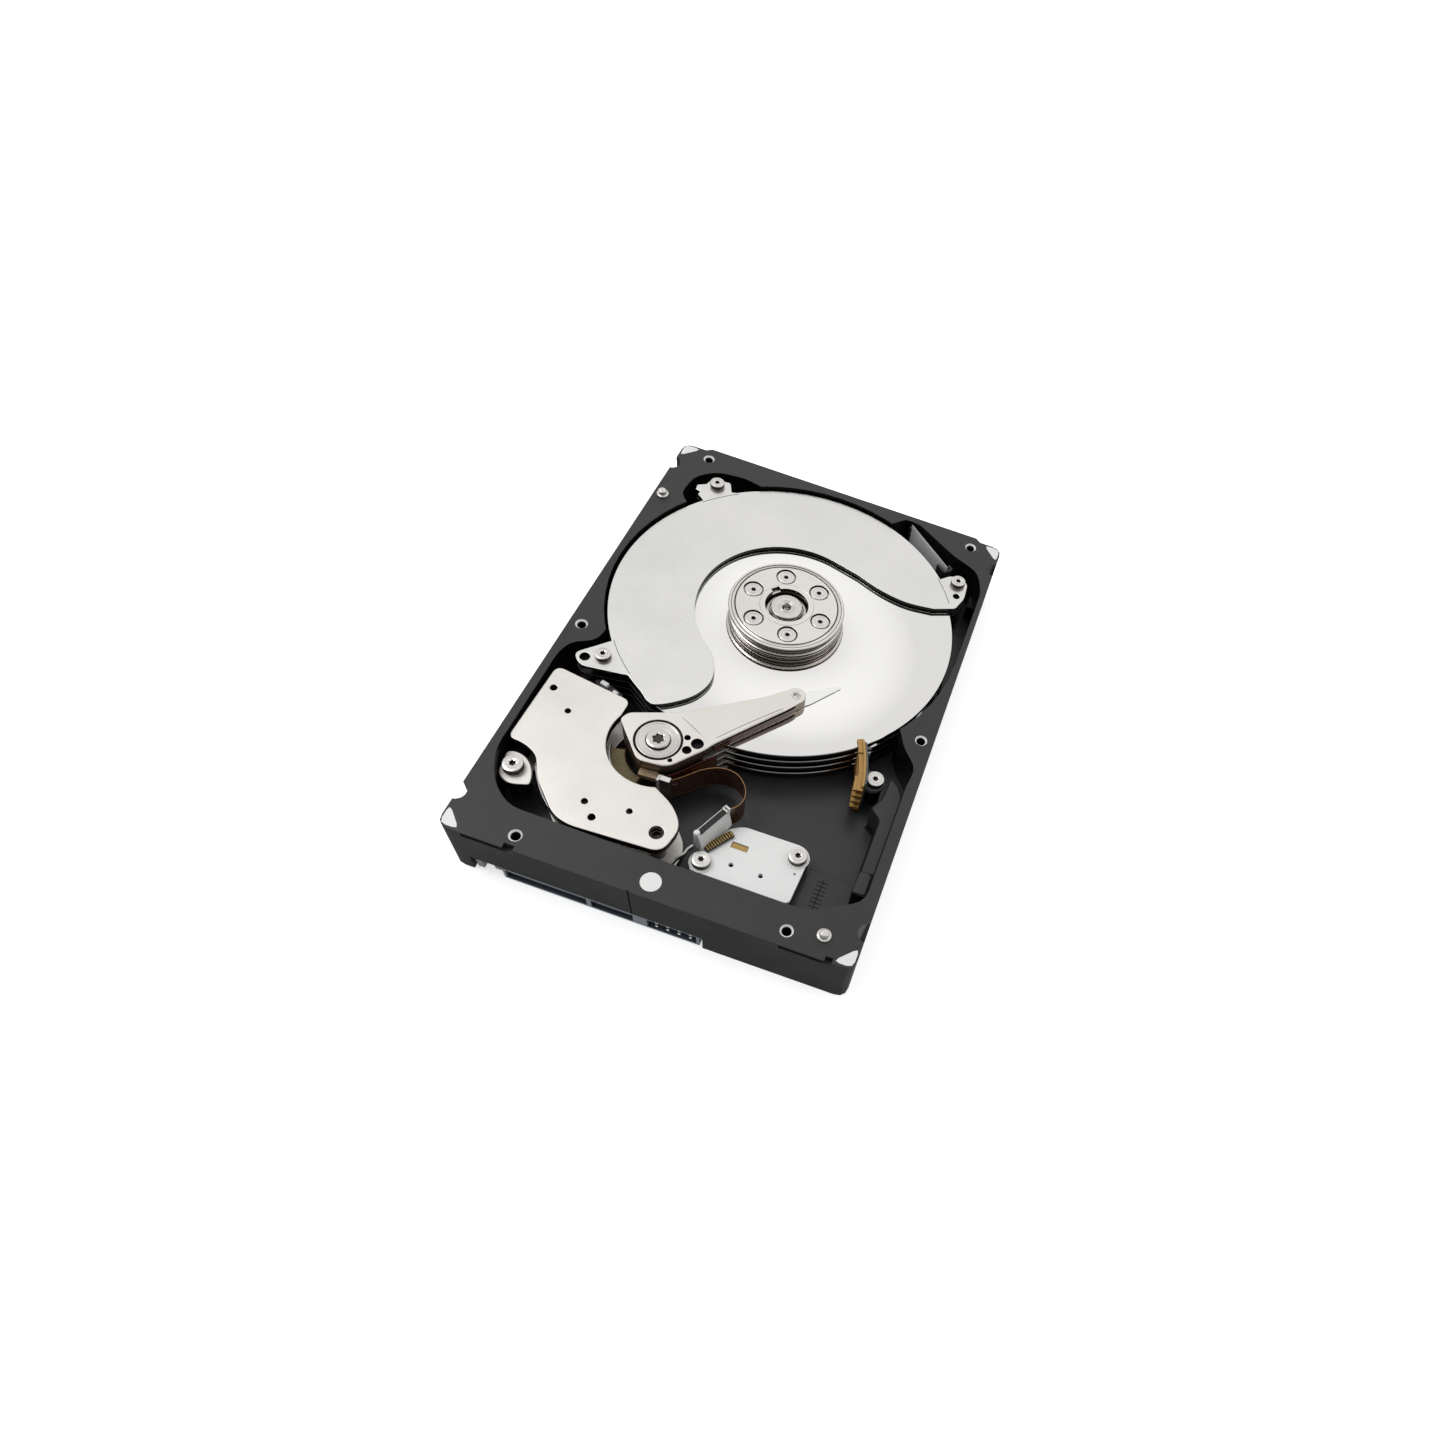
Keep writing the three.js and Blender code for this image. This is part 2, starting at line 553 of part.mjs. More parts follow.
// ---- Air dampers: S-shaped plates above and between the platters, on three stacked ears ----
function damperOutline() {
  return [
    ...arc(SPINDLE.x, SPINDLE.y, DAMPER_R, 25.8, 239, 26),
    ...smooth([
      [-22.6, 52.4], [-20, 51.8], [-15.4, 54.8], [-11.4, 59.4], [-9.8, 65.4], [-12, 72],
      [-17, 77], [-21.4, 82],
    ], 12),
    ...arc(SPINDLE.x, SPINDLE.y, DAMPER_INNER_R, 200, 74, 12),
    ...smooth([[14, 117.8], [22, 115], [30, 113.8], [38, 114.8]], 5),
  ];
}

function damperEars() {
  return [
    rounded([
      [-41.6, 132.6, 1], [-40.4, 128.9, 1], [-36.6, 126, 0], [-27.6, 131, 1], [-31.6, 136.6, 2],
      [-37.4, 137.2, 2.5],
    ]),
    rounded([
      [39.4, 129.8, 1.5], [45, 130.4, 2.5], [46, 124, 1], [45.4, 118.4, 1], [40, 115, 0], [34, 124, 0],
    ]),
    rounded([[-45.6, 59, 2], [-42.4, 55.8, 2], [-29.6, 57.8, 1], [-32, 63, 0], [-37.6, 67.4, 1]]),
  ];
}

// One damper: a thin plate, and thicker ears that start outside the reach of the platters.
function damperPlate(plateBottom, plateTop, earBottom, earTop) {
  const below = earBottom - PAST;
  const above = earTop + PAST;
  const keepOut = ring(SPINDLE.x, SPINDLE.y, 20, DAMPER_R - 0.4, below, above, 48);
  const ears = damperEars().map((outline) => cut(slab(outline, earBottom, earTop), keepOut));
  const webs = damperEars().map((outline) => slab(outline, plateBottom, plateTop));
  const holes = [
    ...DAMPER_SCREWS.map(([x, y]) => rod(x, y, CLEARANCE_HOLE_R, below, above, 8)),
    ...DAMPER_PILOTS.map(([x, y]) => rod(x, y, 0.9, below, above, 8)),
  ];
  return cut(join(slab(damperOutline(), plateBottom, plateTop), ...ears, ...webs), ...holes);
}

function makeDampers() {
  const half = PLATTER_PITCH / 2;
  const earTop = SPACE_MIDDLES[0] + half;
  const top = damperPlate(TOP_DAMPER.bottom, TOP_DAMPER.top, earTop + GAP, TOP_DAMPER.top);
  const lower = SPACE_MIDDLES.map((middle) => damperPlate(
    middle - DAMPER_THICKNESS / 2, middle + DAMPER_THICKNESS / 2, middle - half, middle + half - GAP,
  ));
  return [top, ...lower].map((solid, i) => piece(`air_damper_${i + 1}`, solid, "aluminium"));
}

function makeDamperScrews() {
  const size = {
    headR: 2.1, headTop: TOP_DAMPER.top + 1.3, headHeight: 1.2, shankR: SCREW_SHANK_R, shankBottom: 5,
  };
  return DAMPER_SCREWS.map(([x, y], i) => piece(`damper_screw_${i + 1}`, screw(x, y, size), "screwSteel"));
}

// ---- Voice-coil motor: two steel yoke plates, two magnets and what holds them ----
// Both yoke plates bend round the pivot with an arc that leaves the actuator its room.
function yokeThroat() {
  return arc(PIVOT.x, PIVOT.y, YOKE_THROAT_R, 290, 160, 12).map(({ x, y }) => [x, y, 0]);
}

function topYokeOutline() {
  return rounded([
    [-25.9, 50.4, 2], [-47.4, 53.4, 2.5], [-48.2, 28.6, 2], [-43.6, 28.4, 2.5], [-39.6, 26.4, 2],
    [-36.4, 20.4, 2], [-28.6, 12.6, 3], [-24, 11.4, 2], [-1.2, 12.6, 3], [0.4, 20.6, 3],
    [-3.6, 25.6, 3], ...yokeThroat(),
  ]);
}

function bottomYokeOutline() {
  return rounded([
    [-25.9, 50.4, 2], [-47.4, 53, 2.5], [-45.6, 34, 2], [-45.6, 28, 1], [-39.6, 26.4, 2],
    [-36.4, 20.4, 2], [-28.6, 12.6, 3], [-24, 11.4, 2], [2.6, 11.6, 3], [3.8, 20, 4],
    [-2.6, 26.4, 3], ...yokeThroat(),
  ]);
}

function makeYokes() {
  const above = YOKE_TOP.top + PAST;
  const bottom = slab(bottomYokeOutline(), YOKE_BOTTOM.bottom, YOKE_BOTTOM.top);
  const posts = YOKE_POSTS.map(([x, y]) => rod(x, y, 1.9, YOKE_BOTTOM.bottom, YOKE_TOP.bottom - GAP, 12));
  const top = cut(
    slab(topYokeOutline(), YOKE_TOP.bottom, YOKE_TOP.top),
    ...YOKE_HOLES.map(([x, y, r]) => rod(x, y, r, YOKE_TOP.bottom - PAST, above, 10)),
    rod(...YOKE_POSTS[1], 1.7, YOKE_TOP.bottom + 0.6, above, 14),
    rod(...CRASH_STOPS[1], 1, YOKE_TOP.bottom + 0.8, above, 10),
  );
  return [
    piece("yoke_plate_bottom", join(bottom, ...posts), "nickel"),
    piece("yoke_plate_top", top, "nickel"),
  ];
}

function magnetSolid(bottom) {
  const pivot = new THREE.Vector2(PIVOT.x, PIVOT.y);
  const turn = radians(ARM_ANGLE + MAGNET.turn);
  const outline = sector(MAGNET.inner, MAGNET.outer, MAGNET.halfAngle, 10)
    .map((point) => point.add(pivot).rotateAround(pivot, turn));
  return slab(outline, bottom, bottom + MAGNET.thickness);
}

function makeMagnets() {
  return [
    piece("voice_coil_magnet_bottom", magnetSolid(YOKE_BOTTOM.top + GAP), "magnet"),
    piece("voice_coil_magnet_top", magnetSolid(YOKE_TOP.bottom - GAP - MAGNET.thickness), "magnet"),
  ];
}

// The corner clamp stands beside the yokes and carries the screw that holds them down.
function makeCornerClamp() {
  const plate = slab(
    rounded([
      [-47.8, 26.6, 1.5], [-46.8, 19.4, 2], [-43.2, 17.6, 3], [-38.2, 19.4, 1], [-39, 22.8, 2],
      [-41.6, 26, 2], [-44.6, 27.2, 2],
    ]),
    CORNER_CLAMP_TOP - 1.3, CORNER_CLAMP_TOP,
  );
  const post = rod(...YOKE_SCREW, 2.7, YOKE_BOTTOM.bottom, CORNER_CLAMP_TOP - 1, 14);
  const hole = rod(...YOKE_SCREW, CLEARANCE_HOLE_R, YOKE_BOTTOM.bottom - PAST, CORNER_CLAMP_TOP + PAST, 8);
  return piece("yoke_corner_clamp", cut(join(plate, post), hole), "nickel");
}

function makeYokeScrew() {
  const headHeight = 1.75;
  const headTop = CORNER_CLAMP_TOP + headHeight + GAP;
  const size = { headR: 2.6, headTop, headHeight, shankR: SCREW_SHANK_R, shankBottom: 4.2 };
  return piece("yoke_screw", screw(...YOKE_SCREW, size), "screwSteel");
}

function makeCrashStops() {
  return CRASH_STOPS.map(([x, y], i) => piece(
    `crash_stop_${i === 0 ? "outer" : "inner"}`,
    rod(x, y, 1.4, YOKE_BOTTOM.top + GAP, YOKE_TOP.bottom - GAP, 12),
    "rubber",
  ));
}

// ---- Actuator, drawn with the pivot at the origin and the arms along +X ----
function armOutline() {
  return [
    ...arc(ARM_REACH, 0, 2.5, -80, 80, 8),
    new THREE.Vector2(30.6, 2.5),
    new THREE.Vector2(8, 6),
    new THREE.Vector2(-2, 6),
    new THREE.Vector2(-2, -7),
    new THREE.Vector2(11.6, -6.4),
    new THREE.Vector2(34, -3.4),
  ];
}

// The block between the arms stays inside the reach of the platters' rim, which comes close to the pivot.
function blockOutline() {
  return [
    ...arc(0, 0, BLOCK_R, -30, 85, 8),
    ...rounded([[-3.6, 10.6, 1.2], [-6.2, 9.6, 1], [-7, -3.6, 2], [-0.4, -7.9, 3], [9.6, -7, 1.5]]),
  ];
}

// Heights of the five arms: above the top platter, in the three spaces, and below the stack.
const ARMS = [
  { bottom: TOP_PLATTER_TOP + 0.4, top: BLOCK_TOP },
  ...SPACE_MIDDLES.map((middle) => ({ bottom: middle - ARM_THICKNESS / 2, top: middle + ARM_THICKNESS / 2 })),
  { bottom: STACK_BOTTOM - 1.05, top: STACK_BOTTOM - 0.5 },
];

function makeArmBlock() {
  const body = slab(blockOutline(), 5, BLOCK_TOP);
  const arms = ARMS.map(({ bottom, top }) => slab(armOutline(), bottom, top));
  const coilSeat = sector(COIL.inner - GAP, COIL.outer + GAP, COIL.halfAngle + 0.3, 10);
  const coilEdge = sector(COIL.inner - COIL.frame, COIL.outer + 1.2, COIL.halfAngle + 2.6, 10);
  const coilFrame = cut(
    slab(coilEdge, COIL.bottom, COIL.top),
    slab(coilSeat, COIL.bottom - PAST, COIL.top + PAST),
  );
  const neck = block(-COIL.inner + 0.5, -5, -3.6, 3.6, COIL.bottom, COIL.top);
  const holes = [[6.9, -2.1, 0.8], [8.4, -4.7, 1.6], [5.3, -5.5, 1.2], [0.6, -6.7, 0.45]]
    .map(([x, y, r]) => rod(x, y, r, BLOCK_TOP - 2, BLOCK_TOP + PAST, 10));
  const swageHole = rod(ARM_REACH, 0, 1.5, 0, BLOCK_TOP + PAST, 12);
  const bore = rod(0, 0, BEARING_R + GAP, 0, BLOCK_TOP + PAST, 24);
  const whole = join(body, ...arms, coilFrame, neck);
  return piece("arm_block", cut(whole, ...holes, swageHole, bore), "castAluminium");
}

function makeBearing() {
  const bore = PIVOT_SHAFT_R + 0.06;
  const bottom = 5.1;
  const rimTop = BLOCK_TOP + 0.1;
  const faceTop = rimTop - 0.3;
  const profile = [
    [bore, bottom], [BEARING_R, bottom], [BEARING_R, rimTop], [BEARING_R - 0.5, rimTop],
    [BEARING_R - 0.5, faceTop], [bore, faceTop],
  ];
  return piece("pivot_bearing", turned(0, 0, profile, 24), "machinedSteel");
}

function makeCoil() {
  const windingWidth = 3.8;
  const outline = sector(COIL.inner, COIL.outer, COIL.halfAngle);
  const inside = sector(COIL.inner + windingWidth, COIL.outer - windingWidth, COIL.halfAngle - 8, 6);
  const winding = slab(outline, COIL.bottom, COIL.top);
  return piece("voice_coil", cut(winding, slab(inside, COIL.bottom - PAST, COIL.top + PAST)), "copper");
}

// One arm's suspension: load beams below and above the arm, joined through the swage hole.
function suspension(arm, facesDown, facesUp) {
  const beam = [
    [35.2, 2.1], [35.2, -2.1], [41.4, -2.1], [49, -0.8], [LIFT_TAB_REACH, -0.35],
    [LIFT_TAB_REACH, 0.35], [49, 0.8], [41.4, 2.1],
  ].map(([x, y]) => new THREE.Vector2(x, y));
  const slider = (bottom, top) => block(HEAD_REACH - 0.6, HEAD_REACH + 0.6, -0.5, 0.5, bottom, top);
  const thickness = 0.15;
  const sliderHeight = 0.13;
  const lower = arm.bottom - GAP;
  const upper = arm.top + GAP;
  const sides = [];
  if (facesDown) {
    sides.push(slab(beam, lower - thickness, lower));
    sides.push(slider(lower - thickness - sliderHeight, lower));
  }
  if (facesUp) {
    sides.push(slab(beam, upper, upper + thickness));
    sides.push(slider(upper, upper + thickness + sliderHeight));
  }
  const bossBottom = facesDown ? lower - thickness : arm.bottom + 0.1;
  const bossTop = facesUp ? upper + thickness : arm.top - 0.1;
  const boss = rod(ARM_REACH, 0, 1.4, bossBottom, bossTop, 12);
  return cut(join(boss, ...sides), rod(ARM_REACH, 0, 0.95, 0, BLOCK_TOP + PAST, 8));
}

function makeSuspensions() {
  const last = ARMS.length - 1;
  return ARMS.map((arm, i) => piece(
    `head_suspension_${i + 1}`, suspension(arm, i !== last, i !== 0), "springSteel",
  ));
}

function makePreampBoard() {
  return piece("preamp_board", block(1.2, 12, -9, -8.4, 6.4, 14.6), "polyimide");
}

function makePivotShaft() {
  const bottom = FLOOR_UNDERSIDE + 0.2;
  const headBottom = BLOCK_TOP - 0.1;
  const headTop = headBottom + 0.8;
  const headR = 3.1;
  const profile = [
    [0, bottom], [PIVOT_SHAFT_R, bottom], [PIVOT_SHAFT_R, headBottom], [headR, headBottom],
    [headR, headTop - 0.2], [headR - 0.2, headTop], [0, headTop],
  ];
  const socket = rod(PIVOT.x, PIVOT.y, 1.3, headTop - 1.5, headTop + PAST, 6);
  return piece("pivot_shaft", cut(spun(PIVOT.x, PIVOT.y, profile, 24), socket), "screwSteel");
}

// ---- Cable, bracket and header ----
// The flex cable stands on edge: it leaves the arm block, loops back and ends at the bracket's upright.
function makeFlexCable() {
  const route = new THREE.CatmullRomCurve3([
    [-8.6, 30.3], [-4.2, 33.6], [0.4, 38.4], [5, 40.6], [9, 39], [11.4, 34.6], [11.2, 31.4], [9.2, 30.4],
  ].map(([x, y]) => new THREE.Vector3(x, y, 11)));
  const width = 7.4;
  const thickness = 0.24;
  const corners = [[-1, -1], [1, -1], [1, 1], [-1, 1]];
  const section = new THREE.Shape(
    corners.map(([u, v]) => new THREE.Vector2((u * width) / 2, (v * thickness) / 2)),
  );
  const cable = new THREE.ExtrudeGeometry(section, { steps: 28, bevelEnabled: false, extrudePath: route });
  return piece("flex_cable", toSolid(cable), "polyimide");
}

function makeFlexBracket() {
  const plate = slab(
    rounded([
      [4.2, 14.6, 1.5], [30.4, 14.6, 1.5], [31, 29.4, 2], [28.6, 31.2, 2], [12.6, 31, 1.5],
      [9.6, 29, 1], [5, 20, 1],
    ]),
    BRACKET.bottom, BRACKET.top,
  );
  const upright = turnedBlock(8.2, 25.2, BRACKET.uprightAngle, 10.4, 0.9, BRACKET.bottom, BRACKET.uprightTop);
  const screwHoles = BRACKET_SCREWS.map(([x, y]) => [x, y, CLEARANCE_HOLE_R]);
  const holes = [...screwHoles, [13.6, 19.6, 0.7], [21.4, 19.4, 0.7], [29, 23, 0.4]]
    .map(([x, y, r]) => rod(x, y, r, BRACKET.bottom - PAST, BRACKET.top + PAST, 8));
  return piece("flex_bracket", cut(join(plate, upright), ...holes), "whiteSteel");
}

function makeBracketScrews() {
  const headHeight = 1.6;
  const headTop = BRACKET.top + headHeight + GAP;
  const size = { headR: 2.4, headTop, headHeight, shankR: SCREW_SHANK_R, shankBottom: 4.2 };
  return BRACKET_SCREWS.map(([x, y], i) => piece(`bracket_screw_${i + 1}`, screw(x, y, size), "screwSteel"));
}

function makeHeader() {
  const bottom = BRACKET.top + 0.1;
  const header = turnedBlock(10.6, 24.6, BRACKET.uprightAngle, 8.4, 1.8, bottom, bottom + 1.3);
  return piece("header_connector", header, "gold");
}

// ---- Load ramp: blocks outside the platters' rim that the lift tabs climb when the heads park ----
function makeRamp() {
  const band = (inner, outer, to) => [
    ...arc(PIVOT.x, PIVOT.y, outer, RAMP.from, to, 6),
    ...arc(PIVOT.x, PIVOT.y, inner, to, RAMP.from, 6),
  ];
  const steps = PLATTER_TOPS.map((top) =>
    slab(band(RAMP.inner, RAMP.outer, RAMP.to), top - PLATTER_THICKNESS - 0.15, top + 0.1));
  const wall = slab(band(RAMP.outer - 0.6, RAMP.outer + 0.4, RAMP.to - 1.5), 5.4, 16.6);
  const ear = join(
    rod(...RAMP_SCREW, 2.8, RAMP.earBottom, RAMP.earTop, 14),
    block(37.1, 40, 51.8, 57.6, RAMP.earBottom, RAMP.earTop),
  );
  const clearOfPlatters = rod(SPINDLE.x, SPINDLE.y, PLATTER_R + 0.4, 0, 20, 60);
  const screwHole = rod(...RAMP_SCREW, CLEARANCE_HOLE_R, RAMP.earBottom - PAST, RAMP.earTop + PAST, 8);
  return piece("load_ramp", cut(join(...steps, wall, ear), clearOfPlatters, screwHole), "tanPlastic");
}

function makeRampScrew() {
  const headHeight = 1.6;
  const headTop = RAMP.earTop + headHeight + GAP;
  const size = { headR: 2.3, headTop, headHeight, shankR: SCREW_SHANK_R, shankBottom: 4.6 };
  return piece("ramp_screw", screw(...RAMP_SCREW, size), "screwSteel");
}

// ---- Recirculation filter ----
function makeFilter() {
  const { x, y, angle, length, bottom, top } = FILTER;
  const sillTop = bottom + 0.8;
  const post = (side) => {
    const reach = side * (length / 2 + 0.9);
    const postX = x + reach * Math.cos(radians(angle));
    const postY = y + reach * Math.sin(radians(angle));
    return turnedBlock(postX, postY, angle, 1.4, 2.6, bottom, top - 0.5);
  };
  const frame = join(turnedBlock(x, y, angle, length + 3, 2.2, bottom, sillTop), post(-1), post(1));
  const pouch = turnedBlock(x, y, angle, length, 1.5, sillTop + 0.1, top);
  return [piece("filter_frame", frame, "blackPlastic"), piece("filter_pouch", pouch, "filterCloth")];
}

// ---- Circuit board and interface connector ----
function makeBoard() {
  const { left, right, front, rear, bottom, top } = BOARD;
  const outline = rounded([[left, front, 1], [right, front, 1], [right, rear, 3], [left, rear, 3]]);
  const board = cut(slab(outline, bottom, top), rod(...BOARD_SCREW, 1.1, bottom - PAST, top + PAST, 8));
  return piece("circuit_board", board, "boardGreen");
}

function makeChips() {
  return [
    piece("controller_chip", block(-8, 6, 34, 48, BOARD.top + GAP, 3), "blackPlastic"),
    piece("motor_driver_chip", block(14, 23, 58, 67, BOARD.top + GAP, 2.8), "blackPlastic"),
  ];
}

function makeBoardScrew() {
  const head = rod(...BOARD_SCREW, 2.2, 0.05, BOARD.bottom - GAP, 12);
  const shank = rod(...BOARD_SCREW, 0.85, 0.3, 4, 8);
  const socket = rod(...BOARD_SCREW, 0.9, -PAST, 0.4, 6);
  return piece("board_screw", cut(join(head, shank), socket), "screwSteel");
}

// One plug of the connector: a hollow shell open at the front, with a contact tongue inside.
function plug(x0, x1) {
  const { front, back, bottom, top, wall } = PLUG;
  const room = block(x0 + wall, x1 - wall, -PAST, back - 1.2, bottom + 0.6, top - 0.6);
  const tongue = block(x0 + 1.6, x1 - 1.6, front + 0.8, back - 0.6, 2.3, 3.5);
  return join(cut(block(x0, x1, front, back, bottom, top), room), tongue);
}

// The jumper block: an open shell around two rows of pins.
function jumperBlock() {
  const { front, back, bottom, top } = PLUG;
  const pinPitch = 2.9;
  const pinSide = 0.6;
  const pins = [0, 1, 2, 3].flatMap((i) => [1.9, 3.9].map((z) => {
    const x = 1.7 + i * pinPitch;
    return block(x, x + pinSide, 0.6, 6, z, z + pinSide);
  }));
  const shell = cut(
    block(-3.3, 13.2, front, back, bottom, top),
    block(-0.2, 12.4, -PAST, 5.6, bottom + 0.6, top - 0.3),
  );
  return join(shell, ...pins);
}

function makeConnector() {
  const { back, bottom } = PLUG;
  const power = plug(-37.4, -15.2);
  const data = plug(-15.4, -3.2);
  const tail = block(-44.6, -37.3, 3.4, back, bottom, 4.4);
  const endTab = block(-44.6, -43, 0.6, 4, bottom, 4.4);
  const latchTab = block(-40.6, -38.8, 1.4, 4, bottom, 3.6);
  const connector = join(power, data, jumperBlock(), tail, endTab, latchTab);
  return piece("interface_connector", connector, "connectorPlastic");
}

// ---- Assembly ----
function spindleGroup() {
  const group = new THREE.Group();
  group.add(
    makeHub(), makeRotorMagnet(), ...makePlatters(), ...makeSpacers(), makeClamp(), ...makeClampScrews(),
  );
  return group;
}

function actuatorGroup() {
  const group = new THREE.Group();
  group.position.set(PIVOT.x, PIVOT.y, 0);
  group.rotation.z = radians(ARM_ANGLE);
  group.add(makeArmBlock(), makeBearing(), makeCoil(), ...makeSuspensions(), makePreampBoard());
  return group;
}

function fixedGroup() {
  const group = new THREE.Group();
  group.add(
    makeBaseCasting(),
    makeLocatingPin("locating_pin_rear", PIN_REAR),
    makeLocatingPin("locating_pin_front", PIN_FRONT),
    makeMotorBase(), makeStator(),
    ...makeDampers(), ...makeDamperScrews(),
    ...makeYokes(), ...makeMagnets(), makeCornerClamp(), makeYokeScrew(), ...makeCrashStops(),
    makePivotShaft(), makeFlexCable(), makeFlexBracket(), ...makeBracketScrews(), makeHeader(),
    makeRamp(), makeRampScrew(), ...makeFilter(),
    makeBoard(), ...makeChips(), makeBoardScrew(), makeConnector(),
  );
  return group;
}

const drive = new THREE.Group();
drive.position.y = -LENGTH / 2;
drive.add(fixedGroup(), spindleGroup(), actuatorGroup());

const group = new THREE.Group();
group.add(drive);

export default group;
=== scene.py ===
"""A 3.5-inch hard disk drive with its cover off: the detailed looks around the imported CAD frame.

Sizes are millimetres in the part's drawing frame: x from the drive's middle plane, y from the connector
end, z from the bottom rails. at() turns them into metres in the row frame.
"""
import math

import bpy
from mathutils import Matrix, Vector, noise


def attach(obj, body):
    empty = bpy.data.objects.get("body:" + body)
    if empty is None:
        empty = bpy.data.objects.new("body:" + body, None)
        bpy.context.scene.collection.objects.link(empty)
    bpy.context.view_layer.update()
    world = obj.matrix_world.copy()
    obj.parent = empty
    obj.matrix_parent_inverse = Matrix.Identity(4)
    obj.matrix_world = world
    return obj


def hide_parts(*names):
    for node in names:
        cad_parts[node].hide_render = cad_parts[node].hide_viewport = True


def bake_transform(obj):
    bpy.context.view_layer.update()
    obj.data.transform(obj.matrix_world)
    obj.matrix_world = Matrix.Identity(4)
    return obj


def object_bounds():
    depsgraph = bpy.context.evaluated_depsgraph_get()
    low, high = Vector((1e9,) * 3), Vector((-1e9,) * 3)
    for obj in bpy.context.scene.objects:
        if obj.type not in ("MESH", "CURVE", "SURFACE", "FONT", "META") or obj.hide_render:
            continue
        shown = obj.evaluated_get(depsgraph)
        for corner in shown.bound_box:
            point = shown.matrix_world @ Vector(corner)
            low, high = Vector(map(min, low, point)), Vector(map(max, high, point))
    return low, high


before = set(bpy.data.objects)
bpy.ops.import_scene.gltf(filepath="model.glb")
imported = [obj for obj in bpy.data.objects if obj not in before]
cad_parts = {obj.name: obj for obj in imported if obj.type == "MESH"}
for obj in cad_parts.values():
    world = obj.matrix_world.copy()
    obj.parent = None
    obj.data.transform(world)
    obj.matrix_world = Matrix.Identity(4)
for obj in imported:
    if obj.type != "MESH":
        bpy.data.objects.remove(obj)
CAD_LOW, CAD_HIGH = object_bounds()

MM = 0.001
REAR_SHIFT = CAD_LOW.y

# ---- Places and sizes shared with the CAD ----
SPINDLE = (0, 95.6)
PIVOT = (-14.1, 40.9)
ARM_ANGLE = 45.3
ARM_REACH = 38.1
PLATTER_TOPS = [15.2, 12.6, 10.0, 7.4]
PLATTER_THICKNESS = 1.27
PLATTER_R = 47.5
PLATTER_BORE_R = 12.5
DISK_SPACE_R = 47.9             # fixed pieces at the height of the disks stay outside this
SPACE_MIDDLES = [13.265, 10.665, 8.065]
CASTING_TOP = 17.6
DAMPER_TOP = 16.6
ACTUATOR_TOP = 18.4
YOKE_TOP = (14.35, 16.6)
YOKE_BOTTOM = (4.9, 6.9)
YOKE_HOLE = (-4.4, 17.2)
COVER_SCREWS = [(-41.8, 142.5), (41.8, 142.5), (-47.4, 67.8), (47.4, 67.8), (-33.2, 3.9), (33.2, 3.9)]
DAMPER_SCREWS = [(-35.7, 134), (41.9, 127.3), (-38.2, 60.9)]
BRACKET_SCREWS = [(28.2, 27.4), (6.6, 17.6)]
BRACKET_WINDOW = (13.75, 25.1)
YOKE_SCREW = (-44, 22.6)
RAMP_SCREW = (39.6, 54.4)
CLEARANCE_HOLE_R = 1.35
WALL_INSIDE_X, WALL_INSIDE_Y = 49.75, (8.5, 146.3)      # casting faces within these look inwards

# ---- Visual pieces ----
UPRIGHT_PLACE, UPRIGHT_ANGLE = (6.5, 25.7), 67
HEADER_PLACE, HEADER_ANGLE = (8.6, 24.3), 56
FILTER_PLACE, FILTER_ANGLE, FILTER_LENGTH = (30.2, 137.95), -40.5, 19.2
FILTER_BOTTOM, FILTER_TOP = 5.6, 17.2
POUCH_COLUMNS, POUCH_ROWS = 40, 24
RAMP_LIFT = 0.25                # of the ramp's overhang above the top disk
BOX_CORNER = 0.35               # corner radius of a block over half its width
FLAT_FACE = 0.7                 # a face whose normal rises more than this counts as flat
UPRIGHT_FACE = 0.3              # a face whose normal rises less than this counts as upright
LOBE_DEPTH = 0.13               # of a six-lobed socket, over its radius

# ---- Studio: world directions, light in watts, places in metres, angles in degrees ----
WALL_DIRECTION, WALL_BRIGHTNESS, WALL_SPREAD = (-0.1, 0.72, 0.68), (0.10, 0.80), (-0.3, 0.85)
GLOW_DIRECTION, GLOW_BRIGHTNESS, GLOW_SPREAD = (-0.129, 0.598, 0.791), (0.0, 0.22), (0.984, 0.9995)
DAYLIGHT = (1.0, 0.995, 0.985, 1)
LIGHTS = [                      # name, place, width, energy
    ("key_softbox", (-0.6, 0.0, 0.9), 0.5, 2.8),
    ("side_softbox", (0.85, 0.1, 0.7), 0.6, 0.7),
]
LIGHT_TARGET = (0.0, 0.0, 0.01)
FLOOR_HALF, FLOOR_STEPS = 2.0, 8
CAMERA_AZIMUTH, CAMERA_ELEVATION, CAMERA_ROLL = 3.26, 61.48, 16.39
CAMERA_PLACE = (0.0510, -0.1554, 0.2090)
CAMERA_LENS, CAMERA_SENSOR = 22.94, 36
CAMERA_SHIFT = (-0.097, 0.113)  # the photo is a crop, so its centre isn't the lens's
CAMERA_CLIP_START = 0.01


# ---- Small geometry helpers ----
def at(x, y, z):
    return Vector((x * MM, y * MM + REAR_SHIFT, z * MM))


def polar(centre, radius, degrees):
    angle = math.radians(degrees)
    return (centre[0] + radius * math.cos(angle), centre[1] + radius * math.sin(angle))


def turned(centre, degrees, points):
    """Points drawn about the origin, turned and moved to centre; a third value of a point is kept."""
    c, s = math.cos(math.radians(degrees)), math.sin(math.radians(degrees))
    return [(centre[0] + p[0] * c - p[1] * s, centre[1] + p[0] * s + p[1] * c, *p[2:]) for p in points]


def spot(centre, degrees, x, y):
    """One point drawn about the origin, turned and moved to centre."""
    return turned(centre, degrees, [(x, y)])[0]


def arm_spot(x, y):
    return spot(PIVOT, ARM_ANGLE, x, y)


def on_arm(points):
    """Points of the actuator's own frame, with the pivot at the origin and the arms along x."""
    return turned(PIVOT, ARM_ANGLE, points)


